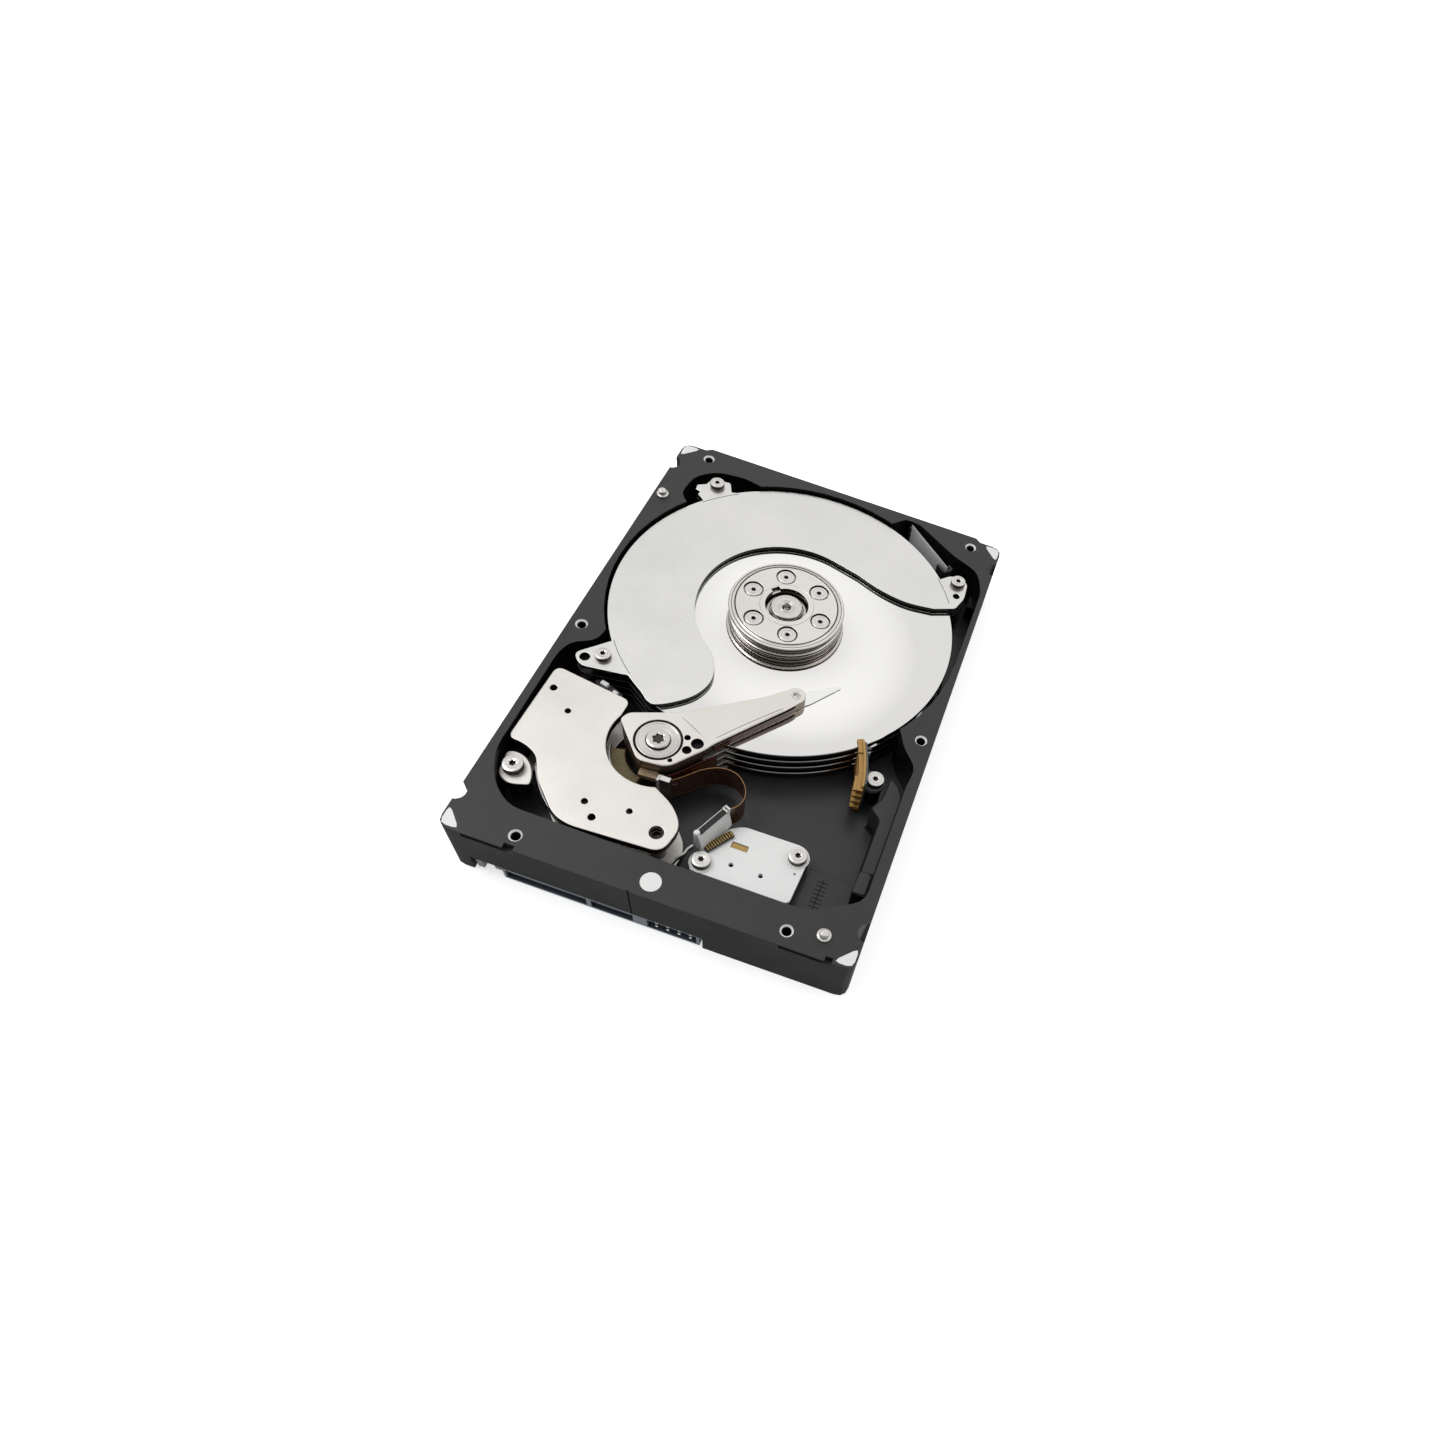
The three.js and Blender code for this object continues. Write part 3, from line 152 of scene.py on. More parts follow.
def arc(centre, radius, start, end, steps):
    return [polar(centre, radius, start + (end - start) * i / steps) for i in range(steps + 1)]


def circle(centre, radius, steps=32):
    return arc(centre, radius, 0, 360 - 360 / steps, steps - 1)


def spline(places, steps):
    """Points on a Catmull-Rom curve through the places."""
    points = []
    for i in range(len(places) - 1):
        p0, p1 = places[max(i - 1, 0)], places[i]
        p2, p3 = places[i + 1], places[min(i + 2, len(places) - 1)]
        for k in range(steps):
            t = k / steps
            points.append(tuple(0.5 * (2 * b + (c - a) * t + (2 * a - 5 * b + 4 * c - d) * t * t +
                    (3 * b - a - 3 * c + d) * t ** 3) for a, b, c, d in zip(p0, p1, p2, p3)))
    return points + [tuple(places[-1])]


def rounded(corners, steps=6):
    """A closed outline from corners (x, y, radius); a corner with no radius stays sharp."""
    outline = []
    for i, corner in enumerate(corners):
        here = Vector(corner[:2])
        radius = corner[2] if len(corner) > 2 else 0
        if not radius:
            outline.append(tuple(here))
            continue
        before = Vector(corners[i - 1][:2]) - here
        after = Vector(corners[(i + 1) % len(corners)][:2]) - here
        start = here + before.normalized() * min(radius, before.length / 2)
        end = here + after.normalized() * min(radius, after.length / 2)
        for k in range(steps + 1):
            t = k / steps
            outline.append(tuple(start * (1 - t) ** 2 + here * 2 * t * (1 - t) + end * t * t))
    return outline


def new_mesh(name, points, faces, sharp=35):
    """A mesh object from points in drawing millimetres, shaded smooth with its real edges kept sharp."""
    mesh = bpy.data.meshes.new(name)
    mesh.from_pydata([tuple(at(*p)) for p in points], [], faces)
    return finish_mesh(name, mesh, sharp)


def finish_mesh(name, mesh, sharp=35):
    mesh.update()
    for polygon in mesh.polygons:
        polygon.use_smooth = True
    mesh.set_sharp_from_angle(angle=math.radians(sharp))
    obj = bpy.data.objects.new(name, mesh)
    bpy.context.scene.collection.objects.link(obj)
    return obj


def loft(name, loops, closed=False, caps=(True, True), sharp=35):
    """Skin through loops of equal length. closed joins the last loop to the first."""
    count = len(loops[0])
    points = [p for loop in loops for p in loop]
    faces = []
    for i in range(len(loops) if closed else len(loops) - 1):
        a, b = i * count, ((i + 1) % len(loops)) * count
        for k in range(count):
            n = (k + 1) % count
            faces.append((a + k, a + n, b + n, b + k))
    if not closed and caps[0]:
        faces.append(tuple(reversed(range(count))))
    if not closed and caps[1]:
        last = (len(loops) - 1) * count
        faces.append(tuple(range(last, last + count)))
    return new_mesh(name, points, faces, sharp)


def level_ring(centre, radius, z, sides):
    return [(*polar(centre, radius, 360 * k / sides), z) for k in range(sides)]


def softened(profile, radius, closed):
    """A profile whose corners are cut by small curves."""
    result = []
    for i, (r, z) in enumerate(profile):
        if not closed and i in (0, len(profile) - 1):
            result.append((r, z))
            continue
        here = Vector((r, z))
        before = Vector(profile[i - 1]) - here
        after = Vector(profile[(i + 1) % len(profile)]) - here
        start = here + before.normalized() * min(radius, before.length * 0.4)
        end = here + after.normalized() * min(radius, after.length * 0.4)
        result += [tuple(start), tuple((start + end) * 0.25 + here * 0.5), tuple(end)]
    return result


def lathe(name, centre, profile, sides=96, closed=False, soft=0.08):
    """A turned piece. Profile points are (radius, height), from the bottom up and outside first."""
    axis_gap = 1e-4
    loops = [level_ring(centre, max(r, axis_gap), z, sides) for r, z in softened(profile, soft, closed)]
    return loft(name, loops, closed, sharp=50)


def plate(name, outline, holes, bottom, top, bevel=0.12):
    """A flat plate with rounded edges, in drawing millimetres."""
    curve = bpy.data.curves.new(name, "CURVE")
    curve.dimensions = "2D"
    curve.fill_mode = "BOTH"
    curve.extrude = (top - bottom) / 2 - bevel
    curve.bevel_depth = bevel
    curve.bevel_resolution = 2
    curve.offset = -bevel
    for loop in [outline, *holes]:
        line = curve.splines.new("POLY")
        line.points.add(len(loop) - 1)
        for point, place in zip(line.points, loop):
            point.co = (place[0], place[1], 0, 1)
        line.use_cyclic_u = True
    carrier = bpy.data.objects.new(name + "_outline", curve)
    bpy.context.scene.collection.objects.link(carrier)
    bpy.context.view_layer.update()
    mesh = bpy.data.meshes.new_from_object(carrier)
    bpy.data.objects.remove(carrier)
    mesh.materials.clear()
    mesh.transform(Matrix.Translation(at(0, 0, (bottom + top) / 2)) @ Matrix.Scale(MM, 4))
    return finish_mesh(name, mesh, 40)


def box_outline(centre, size, degrees, radius, steps):
    x, y = size[0] / 2, size[1] / 2
    corners = [(-x, -y, radius), (x, -y, radius), (x, y, radius), (-x, y, radius)]
    return turned(centre, degrees, rounded(corners, steps))


def box(name, centre, size, degrees=0, bottom=0, top=1, bevel=0.15):
    """A block with rounded corners and edges, turned about Z."""
    corner = min(size[0] / 2, size[1] / 2) * BOX_CORNER
    return plate(name, box_outline(centre, size, degrees, corner, 4), [], bottom, top, bevel)


def strip(name, route, bottom, top, thickness):
    """A thin ribbon that stands on edge along a route; each place is (x, y)."""
    left, right = [], []
    for i, place in enumerate(route):
        here = Vector(place[:2])
        along = Vector(route[min(i + 1, len(route) - 1)][:2]) - Vector(route[max(i - 1, 0)][:2])
        side = Vector((-along.y, along.x)).normalized() * thickness / 2
        left.append(here + side)
        right.append(here - side)
    loops = [[(*a, bottom), (*a, top), (*b, top), (*b, bottom)] for a, b in zip(left, right)]
    return loft(name, loops)


def join(name, pieces):
    """One object out of several that share a material and a body."""
    bpy.ops.object.select_all(action="DESELECT")
    for piece in pieces:
        piece.select_set(True)
    bpy.context.view_layer.objects.active = pieces[0]
    bpy.ops.object.join()
    pieces[0].name = name
    return pieces[0]


# ---- Materials ----
def add(tree, kind, **values):
    """A shader node with its settings. Inputs are set to a number, or linked where an output is given."""
    node = tree.nodes.new(kind)
    for key, value in values.items():
        if isinstance(value, bpy.types.NodeSocket):
            tree.links.new(value, node.inputs[key])
        elif key in node.inputs:
            node.inputs[key].default_value = value
        else:
            setattr(node, key, value)
    return node


def place_in_mm(tree, stretch, turn):
    """Object coordinates in millimetres, stretched for brushed grain and turned about Z."""
    coords = add(tree, "ShaderNodeTexCoord")
    mapping = add(tree, "ShaderNodeMapping", Vector=coords.outputs["Object"],
            Scale=tuple(s / MM for s in stretch), Rotation=(0, 0, math.radians(turn)))
    return mapping.outputs["Vector"]


def noise_value(tree, vector, scale, detail=3.0):
    texture = add(tree, "ShaderNodeTexNoise", Vector=vector, Scale=scale, Detail=detail, Roughness=0.6)
    return texture.outputs["Fac"]


def ring_value(tree, centre, scale):
    """Noise that depends only on the distance from a vertical axis: the marks of turning."""
    coords = add(tree, "ShaderNodeTexCoord")
    shift = add(tree, "ShaderNodeVectorMath", operation="SUBTRACT")
    shift.inputs[1].default_value = at(centre[0], centre[1], 0)
    flat = add(tree, "ShaderNodeVectorMath", operation="MULTIPLY")
    flat.inputs[1].default_value = (1 / MM, 1 / MM, 0)
    length = add(tree, "ShaderNodeVectorMath", operation="LENGTH")
    texture = add(tree, "ShaderNodeTexNoise", noise_dimensions="1D", Scale=scale, Detail=2.0)
    chain = [coords.outputs["Object"], shift, flat, length]
    for here, after in zip(chain, chain[1:]):
        tree.links.new(here if here is chain[0] else here.outputs["Vector"], after.inputs[0])
    tree.links.new(length.outputs["Value"], texture.inputs["W"])
    return texture.outputs["Fac"]


def ranged(tree, value, low, high, source=(0.3, 0.7)):
    node = add(tree, "ShaderNodeMapRange", Value=value, **{"From Min": source[0], "From Max": source[1],
            "To Min": low, "To Max": high})
    return node.outputs["Result"]


def surface(name, dark, light, rough, metallic=0.0, grain=1.2, bump=0.0, stretch=(1, 1, 1), turn=0,
            patch=0.05, rings=None, **constants):
    """A procedural finish: fine grain, broad patches, uneven gloss and a shallow relief.

    rings gives the axis of a turned piece, whose grain then runs in circles.
    """
    material = bpy.data.materials.new(name)
    material.use_nodes = True
    tree = material.node_tree
    shader = tree.nodes["Principled BSDF"]
    shader.inputs["Metallic"].default_value = metallic
    for key, value in constants.items():
        shader.inputs[key.replace("_", " ")].default_value = value
    vector = place_in_mm(tree, stretch, turn)
    fine = ring_value(tree, rings, grain) if rings else noise_value(tree, vector, grain)
    plain = place_in_mm(tree, (1, 1, 1), 0)
    broad = noise_value(tree, plain, patch, 2.0)
    tone = add(tree, "ShaderNodeMath", operation="ADD")
    tree.links.new(ranged(tree, fine, 0, 0.5), tone.inputs[0])
    tree.links.new(ranged(tree, broad, 0, 0.5), tone.inputs[1])
    mix = add(tree, "ShaderNodeMix", data_type="RGBA")
    mix.inputs[6].default_value = (*dark, 1)
    mix.inputs[7].default_value = (*light, 1)
    tree.links.new(tone.outputs[0], mix.inputs[0])
    tree.links.new(mix.outputs[2], shader.inputs["Base Color"])
    tree.links.new(ranged(tree, tone.outputs[0], *rough, source=(0.2, 0.8)), shader.inputs["Roughness"])
    if bump:
        relief = add(tree, "ShaderNodeBump", Strength=0.5, Distance=bump * MM)
        tree.links.new(fine, relief.inputs["Height"])
        tree.links.new(relief.outputs["Normal"], shader.inputs["Normal"])
    return material


# name, darker and lighter colour, roughness, metal, grain, relief, other settings
MATERIAL = {
    "coating": surface("casting_coating", (0.034, 0.035, 0.036), (0.05, 0.051, 0.052), (0.36, 0.5), 0, 3.5,
        0.012, patch=0.08, Specular_IOR_Level=0.35),
    # Darker copies of the coating as painted shade: outer sides, then near-black inner walls (also the land's
    # marks), then pocket floors.
    "coating_side_painted_shade": surface("casting_side_painted_shade", (0.01, 0.01, 0.011), (0.016, 0.016, 0.017), (0.5, 0.62), 0, 3.5,
        0.012, patch=0.08, Specular_IOR_Level=0.06),
    "coating_shade_and_marks": surface("casting_shade_and_marks", (0.003, 0.003, 0.003), (0.006, 0.006, 0.006), (0.34, 0.46), 0,
        3.5, 0.008, patch=0.08, Specular_IOR_Level=0.2),
    "coating_floor_painted_shade": surface("casting_floor_painted_shade", (0.02, 0.021, 0.022), (0.034, 0.035, 0.036), (0.26, 0.36), 0,
        3.5, 0.006, patch=0.06, Specular_IOR_Level=0.5),
    "bare_pad": surface("milled_pad", (0.95, 0.95, 0.95), (0.99, 0.99, 0.99), (0.3, 0.45), 0.05, 1.5, 0.004,
        stretch=(6, 0.6, 1)),
    "platter": surface("platter_mirror", (0.895, 0.89, 0.875), (0.92, 0.915, 0.905), (0.038, 0.046), 1, 2,
        rings=SPINDLE, patch=0.02),
    # Near-black painted shade for upright rims and sides, small hole walls, the cover threads and the lower
    # dampers.
    "dark_painted_shade": surface("dark_edge_painted_shade", (0.02, 0.02, 0.02), (0.05, 0.05, 0.05), (0.25, 0.4), 0.8, 3),
    "damper": surface("rolled_aluminium", (0.8, 0.795, 0.78), (0.9, 0.895, 0.88), (0.24, 0.34), 1, 0.9,
        0.0015, stretch=(0.35, 5, 1), turn=20),
    "clamp": surface("clamp_face", (0.76, 0.725, 0.685), (0.9, 0.87, 0.835), (0.2, 0.3), 1, 2.2, 0.004,
        rings=SPINDLE),
    # Darker copy of the clamp's nickel: painted shade for its upright sides and step rings.
    "clamp_side_painted_shade": surface("clamp_side_painted_shade", (0.02, 0.014, 0.01), (0.1, 0.075, 0.055), (0.14, 0.24), 1, 2,
        rings=SPINDLE),
    "hub": surface("turned_hub", (0.62, 0.6, 0.57), (0.8, 0.78, 0.75), (0.18, 0.3), 1, 2.5, 0.004,
        rings=SPINDLE),
    "screw": surface("zinc_screw", (0.72, 0.7, 0.67), (0.88, 0.865, 0.84), (0.2, 0.34), 0.85, 2.5, 0.004),
    # Painted shade for screw sockets and other small dark recesses and steps.
    "socket": surface("socket_painted_shade", (0.03, 0.026, 0.022), (0.1, 0.09, 0.08), (0.3, 0.45), 0.8, 3),
    "nickel": surface("nickel_plate", (0.8, 0.77, 0.735), (0.9, 0.87, 0.83), (0.34, 0.44), 0.75, 2.6, 0.006,
        patch=0.06),
    "arm": surface("milled_arm", (0.8, 0.765, 0.72), (0.88, 0.85, 0.81), (0.32, 0.42), 0.85, 1.4, 0.003,
        stretch=(1, 4, 1), turn=-45),
    # The actuator block: a dark copy of the cast aluminium, painted shade under the top arm.
    "block": surface("block_painted_shade", (0.1, 0.07, 0.045), (0.26, 0.2, 0.14), (0.3, 0.45), 0.8, 1.6, 0.01,
        stretch=(1, 1, 3)),
    "ledge": surface("block_ledge", (0.3, 0.21, 0.13), (0.48, 0.37, 0.25), (0.3, 0.45), 0.6, 1.6, 0.006),
    # Darker copy of the arm's finish: painted shade for its sides.
    "arm_side_painted_shade": surface("arm_side_painted_shade", (0.16, 0.12, 0.09), (0.36, 0.29, 0.22), (0.25, 0.4), 0.8, 1.6, 0.006,
        stretch=(1, 1, 4)),
    "bearing": surface("bearing_steel", (0.6, 0.58, 0.56), (0.8, 0.78, 0.75), (0.16, 0.28), 1, 3, 0.004,
        rings=PIVOT),
    "copper": surface("coil_wire", (0.16, 0.12, 0.06), (0.44, 0.36, 0.22), (0.25, 0.4), 0.9, 7, 0.03),
    "coil_side": surface("coil_side", (0.05, 0.038, 0.016), (0.26, 0.21, 0.11), (0.3, 0.45), 0.6, 3.2,
        0.05),
    "dark_steel": surface("dark_steel", (0.06, 0.055, 0.05), (0.16, 0.15, 0.14), (0.3, 0.45), 0.9, 2.2,
        0.006),
    "magnet": surface("magnet_plating", (0.4, 0.4, 0.4), (0.58, 0.58, 0.57), (0.22, 0.36), 1, 1.5, 0.004),
    "spring": surface("stainless_sheet", (0.84, 0.84, 0.82), (0.93, 0.93, 0.91), (0.14, 0.24), 1, 2,
        stretch=(4, 0.6, 1), turn=-45),
    "film": surface("amber_film", (0.022, 0.006, 0.003), (0.085, 0.024, 0.007), (0.2, 0.3), 0, 1, 0.004,
        Coat_Weight=0.2, Coat_Roughness=0.2),
    "film_dark": surface("dark_red_film", (0.035, 0.006, 0.005), (0.09, 0.018, 0.012), (0.22, 0.34), 0, 1.4,
        0.006, Coat_Weight=0.4, Coat_Roughness=0.15),
    "trace": surface("film_edge", (0.22, 0.11, 0.045), (0.42, 0.25, 0.11), (0.25, 0.4), 0.6, 2.5),
    "tan": surface("ramp_resin", (0.38, 0.2, 0.045), (0.62, 0.38, 0.12), (0.35, 0.5), 0, 2.2, 0.01),
    "tan_dark": surface("ramp_shade", (0.16, 0.055, 0.012), (0.4, 0.19, 0.05), (0.35, 0.5), 0, 2.2, 0.01),
    "grey_plastic": surface("grey_resin", (0.08, 0.085, 0.09), (0.16, 0.165, 0.17), (0.38, 0.5), 0, 2.2,
        0.01),
    "black_plastic": surface("black_resin", (0.012, 0.012, 0.013), (0.028, 0.028, 0.03), (0.36, 0.5), 0,
        2.4, 0.012),
    "connector": surface("connector_resin", (0.05, 0.066, 0.085), (0.085, 0.108, 0.135), (0.36, 0.48), 0,
        2.4, 0.012),
    "white_metal": surface("bright_bracket", (0.92, 0.92, 0.92), (0.98, 0.98, 0.98), (0.36, 0.48), 0.2, 1.2,
        0.004),
    "white_resin": surface("white_resin", (0.86, 0.86, 0.86), (0.95, 0.95, 0.95), (0.36, 0.48), 0, 1.6,
        0.01),
    "gold": surface("gold_contacts", (0.3, 0.19, 0.06), (0.58, 0.4, 0.15), (0.2, 0.32), 1, 3),
    "board": surface("solder_mask", (0.006, 0.03, 0.018), (0.02, 0.075, 0.045), (0.26, 0.36), 0, 0.9, 0.02,
        stretch=(1, 2.2, 1)),
    "chip": surface("chip_resin", (0.014, 0.014, 0.015), (0.03, 0.03, 0.032), (0.45, 0.6), 0, 5, 0.01),
    "ceramic": surface("capacitor_body", (0.25, 0.17, 0.1), (0.4, 0.29, 0.18), (0.4, 0.55), 0, 3),
    "cloth": surface("filter_cloth", (0.42, 0.42, 0.43), (0.72, 0.72, 0.73), (0.7, 0.9), 0, 2.2, 0.06,
        stretch=(1, 1, 3), Sheen_Weight=0.3),
    "rubber": surface("stop_rubber", (0.015, 0.015, 0.015), (0.03, 0.03, 0.03), (0.6, 0.8), 0, 2, 0.02),
    "floor": surface("studio_floor", (0.95, 0.95, 0.95), (0.97, 0.97, 0.97), (0.6, 0.7), 0, 0.002,
        patch=0.001, Emission_Color=(1, 1, 1, 1), Emission_Strength=0.62),
}


def put(obj, material, slot, *stands_for, body="base"):
    """Gives a piece its finish, its body and the CAD nodes that it stands for; the slot argument is not used.
    """
    obj.data.materials.clear()
    obj.data.materials.append(MATERIAL[material])
    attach(obj, body)
    if stands_for:
        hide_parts(*stands_for)


def paint_shade_on_sides(obj, material):
    """A second, darker finish for the faces that stand upright: painted shade on the sides."""
    obj.data.materials.append(MATERIAL[material])
    for polygon in obj.data.polygons:
        if abs(polygon.normal.z) < UPRIGHT_FACE:
            polygon.material_index = 1


def soften(node, material, width=0.15):
    """Rounds the edges of a carried-over CAD node and gives it a finish."""
    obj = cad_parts[node]
    obj.data.materials.clear()
    obj.data.materials.append(MATERIAL[material])
    for polygon in obj.data.polygons:
        polygon.use_smooth = True
    weld = obj.modifiers.new("weld", "WELD")
    weld.merge_threshold = 0.01 * MM
    flat = obj.modifiers.new("flat_faces", "DECIMATE")
    flat.decimate_type = "DISSOLVE"
    flat.angle_limit = math.radians(0.5)
    flat.delimit = {"MATERIAL"}
    bevel = obj.modifiers.new("edge_rounding", "BEVEL")
    bevel.width = width * MM
    bevel.segments = 2
    bevel.limit_method = "ANGLE"
    bevel.angle_limit = math.radians(30)
    bevel.use_clamp_overlap = True
    normals = obj.modifiers.new("flat_shading", "WEIGHTED_NORMAL")
    normals.keep_sharp = True
    return obj


# ---- Screws and pins ----
CLAMP_SCREWS = [polar(SPINDLE, 10.5, 50.7 + 60 * i) for i in range(6)]


def six_lobed(centre, radius, z, sides, turn=0):
    points = []
    for k in range(sides):
        degrees = 360 * k / sides
        wave = 1 + LOBE_DEPTH * math.cos(math.radians(6 * (degrees - turn)))
        points.append((*polar(centre, radius * wave, degrees), z))
    return points


def torx_screw(name, centre, seat, top, head_r, socket_r, shank_bottom, ring_groove=True, turn=0):
    """A screw with a six-lobed socket; its face carries a fine turned groove."""
    sides = 72
    edge = min(0.3, head_r * 0.12)
    rim = head_r - edge
    groove_r = (rim + socket_r * 1.35) / 2
    profile = [(1.05, shank_bottom), (1.05, seat), (head_r - 0.06, seat), (head_r, seat + 0.06),
            (head_r, top - edge), (head_r - edge * 0.3, top - edge * 0.3), (rim, top)]
    if ring_groove:
        profile += [(groove_r + 0.09, top), (groove_r + 0.03, top - 0.07), (groove_r - 0.03, top - 0.07),
                (groove_r - 0.09, top)]
    profile += [(socket_r * 1.3, top)]
    loops = [level_ring(centre, r, z, sides) for r, z in profile]
    depth = min(1.0, (top - seat) * 0.75)
    loops += [six_lobed(centre, socket_r * part, top - down, sides, turn)
            for part, down in ((1.08, 0.06), (1, 0.14), (0.96, depth))]
    loops.append(level_ring(centre, socket_r * 0.3, top - depth - 0.12, sides))
    screw = loft(name, loops, sharp=32)
    screw["socket"] = [*at(*centre, top - 0.12), socket_r * 1.2 * MM]
    return screw


def put_screw(screw, node, material="screw", body="base"):
    """Places a screw, with painted shade down in its socket and on the upright rim of its head."""
    x, y, z, reach = screw["socket"]
    put(screw, material, "screw_steel", node, body=body)
    screw.data.materials.append(MATERIAL["socket"])
    for polygon in screw.data.polygons:
        centre = polygon.center
        reaches_in = math.hypot(centre.x - x, centre.y - y) < reach
        in_socket = reaches_in and z - 1.2 * MM < centre.z < z
        on_rim = not reaches_in and abs(polygon.normal.z) < UPRIGHT_FACE
        if in_socket or on_rim:
            polygon.material_index = 1
    del screw["socket"]


def make_screws():
    for i, place in enumerate(CLAMP_SCREWS):
        screw = torx_screw(f"clamp_torx_{i + 1}", place, 18.25, 19.25, 2.45, 0.62, 13.8, turn=11 * i)
        put_screw(screw, f"clamp_screw_{i + 1}", body="spindle")
    for i, place in enumerate(DAMPER_SCREWS):
        screw = torx_screw(f"damper_torx_{i + 1}", place, 16.7, 17.9, 2.1, 0.62, 5, turn=17 * i)
        put_screw(screw, f"damper_screw_{i + 1}")
    for i, place in enumerate(BRACKET_SCREWS):
        screw = torx_screw(f"bracket_torx_{i + 1}", place, 8.85, 10.45, 2.35, 0.66, 4.2, turn=23 * i)
        put_screw(screw, f"bracket_screw_{i + 1}")
    put_screw(torx_screw("yoke_torx", YOKE_SCREW, 14.05, 15.8, 2.6, 0.74, 4.2), "yoke_screw")
    put_screw(torx_screw("ramp_torx", RAMP_SCREW, 12.25, 13.85, 2.3, 0.66, 4.6, turn=9), "ramp_screw")


def make_pins():
    for name, place in (("rear", (-48, 122.2)), ("front", (41.6, 5.8))):
        top = CASTING_TOP
        pin = lathe(f"dowel_{name}", place, [(1, top - 2.9), (1, top + 0.05), (1.7, top + 0.05),
                (1.7, top + 0.5), (1.3, top + 0.52), (1.15, top + 0.65), (1.15, top + 1.5),
                (0.8, top + 1.75), (0, top + 1.75)], 48, soft=0.07)
        put(pin, "screw", "screw_steel", f"locating_pin_{name}")


def make_cover_threads():
    """The threads inside the cover's screw holes, in dark painted shade."""
    pitch, depth = 0.5, 0.14
    for i, place in enumerate(COVER_SCREWS):
        profile = []
        z = CASTING_TOP - 5.8
        while z < CASTING_TOP - 0.7:
            profile += [(1.13, z), (1.13 - depth, z + pitch / 2)]
            z += pitch
        top = profile[-1][1]
        ring = [(1.16, top + 0.2), (1.16, profile[0][1])]
        thread = lathe(f"cover_thread_{i + 1}", place, profile + ring, 32, closed=True, soft=0.02)
        put(thread, "dark_painted_shade", "screw_steel")


# ---- Casting ----
def casting_finish(polygon):
    """The slot of a casting face: coating, bare pad, or coating with painted shade on an outer side, an inner
    wall or a floor.
    """
    x, y, z = polygon.center.x / MM, (polygon.center.y - REAR_SHIFT) / MM, polygon.center.z / MM
    faces_up = polygon.normal.z > FLAT_FACE
    hole_cone = z > CASTING_TOP - 0.7 and polygon.normal.z > 0.2 and any(
            math.dist((x, y), place) < 1.75 for place in COVER_SCREWS)
    if z > CASTING_TOP + 0.03 or hole_cone:
        return 1
    # Inside the walls: upright faces and the breather ledge get near-black painted shade, the pocket floors a
    # lighter painted shade.
    if abs(x) < WALL_INSIDE_X and WALL_INSIDE_Y[0] < y < WALL_INSIDE_Y[1] and 3.9 < z < CASTING_TOP - 0.1:
        on_ledge = 13 < z < 15 and x > 40 and y < 60
        return 4 if faces_up and not on_ledge else 3
    # Outside, upright faces get the coating with painted shade.
    return 0 if polygon.normal.z >= FLAT_FACE else 2


def make_casting():
    casting = soften("base_casting", "coating", 0.28)
    for finish in ("bare_pad", "coating_side_painted_shade", "coating_shade_and_marks", "coating_floor_painted_shade"):
        casting.data.materials.append(MATERIAL[finish])
    for polygon in casting.data.polygons:
        polygon.material_index = casting_finish(polygon)


def make_floor_details():
    """The breather channel's raised cover beside the right wall, and the ruler on the front land."""
    ridge = rounded([(44.45, 27.1, 0.1), (47.55, 27.4, 0.1), (47.55, 51.6, 2), (45.4, 54.6, 1),
            (43.5, 55.9, 0.4), (43.3, 49.6, 1), (41.5, 45.5, 0.4), (44.45, 43.1, 1)])
    block = rounded([(44.0, 20.5, 0.8), (47.1, 20.5, 0.8), (47.1, 26.5, 0.8), (44.2, 26.5, 0.8)])
    covers = [plate("cover", ridge, [], 13.3, 13.62, 0.12), plate("cover", block, [], 14.5, 14.85, 0.14)]
    # The raised cover takes the pocket floor's painted shade.
    put(join("breather_cover", covers), "coating_floor_painted_shade", "coated_casting")
    # Thin near-black strips laid flat on the floor beside the ridge and along the front land, darker than the
    # floor around them.
    dark_strips = [strip("dark_strip", [(43.9, 27.6), (43.9, 42.9), (40.9, 45.3)], 4.61, 4.8, 0.7),
            strip("dark_strip", [(31.8, 27.75), (42.9, 27.75)], 4.61, 4.8, 0.5)]
    marks = [strip("mark", [(36.02, 15.9), (36.02, 25.6)], 5.8, 5.83, 0.2)]
    for i in range(8):
        y = 16.42 + i * 1.2
        marks += [strip("mark", [(left, y), (right, y)], 5.8, 5.83, 0.24)
                for left, right in ((34.6, 35.9), (36.15, 37.4))]
    put(join("floor_dark_strips", dark_strips), "coating_shade_and_marks", "coated_casting")
    put(join("land_marks", marks), "coating_shade_and_marks", "coated_casting")


# ---- Disk stack ----
def make_platters():
    chamfer = 0.16
    for i, top in enumerate(PLATTER_TOPS):
        low = top - PLATTER_THICKNESS
        inner, outer = PLATTER_BORE_R + chamfer, PLATTER_R - chamfer
        profile = [(PLATTER_BORE_R, low + chamfer), (inner, low), (outer, low), (PLATTER_R, low + chamfer),
                (PLATTER_R, top - chamfer), (outer, top), (inner, top), (PLATTER_BORE_R, top - chamfer)]
        disk = lathe(f"disk_{i + 1}", SPINDLE, profile, 256, closed=True, soft=0.01)
        disk.data.set_sharp_from_angle(angle=math.radians(20))
        put(disk, "platter", "platter", f"platter_{i + 1}", body="spindle")
        # The mirror disk's upright rims take painted shade.
        paint_shade_on_sides(disk, "dark_painted_shade")


def clamp_keyway(radius):
    """The clamp's centre hole with its square keyway, as a hole outline."""
    half, middle, reach = 12, 138, radius + 1.05
    outline = arc(SPINDLE, radius, middle + half, middle + 360 - half, 60)
    return outline + [polar(SPINDLE, reach, middle + side * half * 0.85) for side in (-1, 1)]


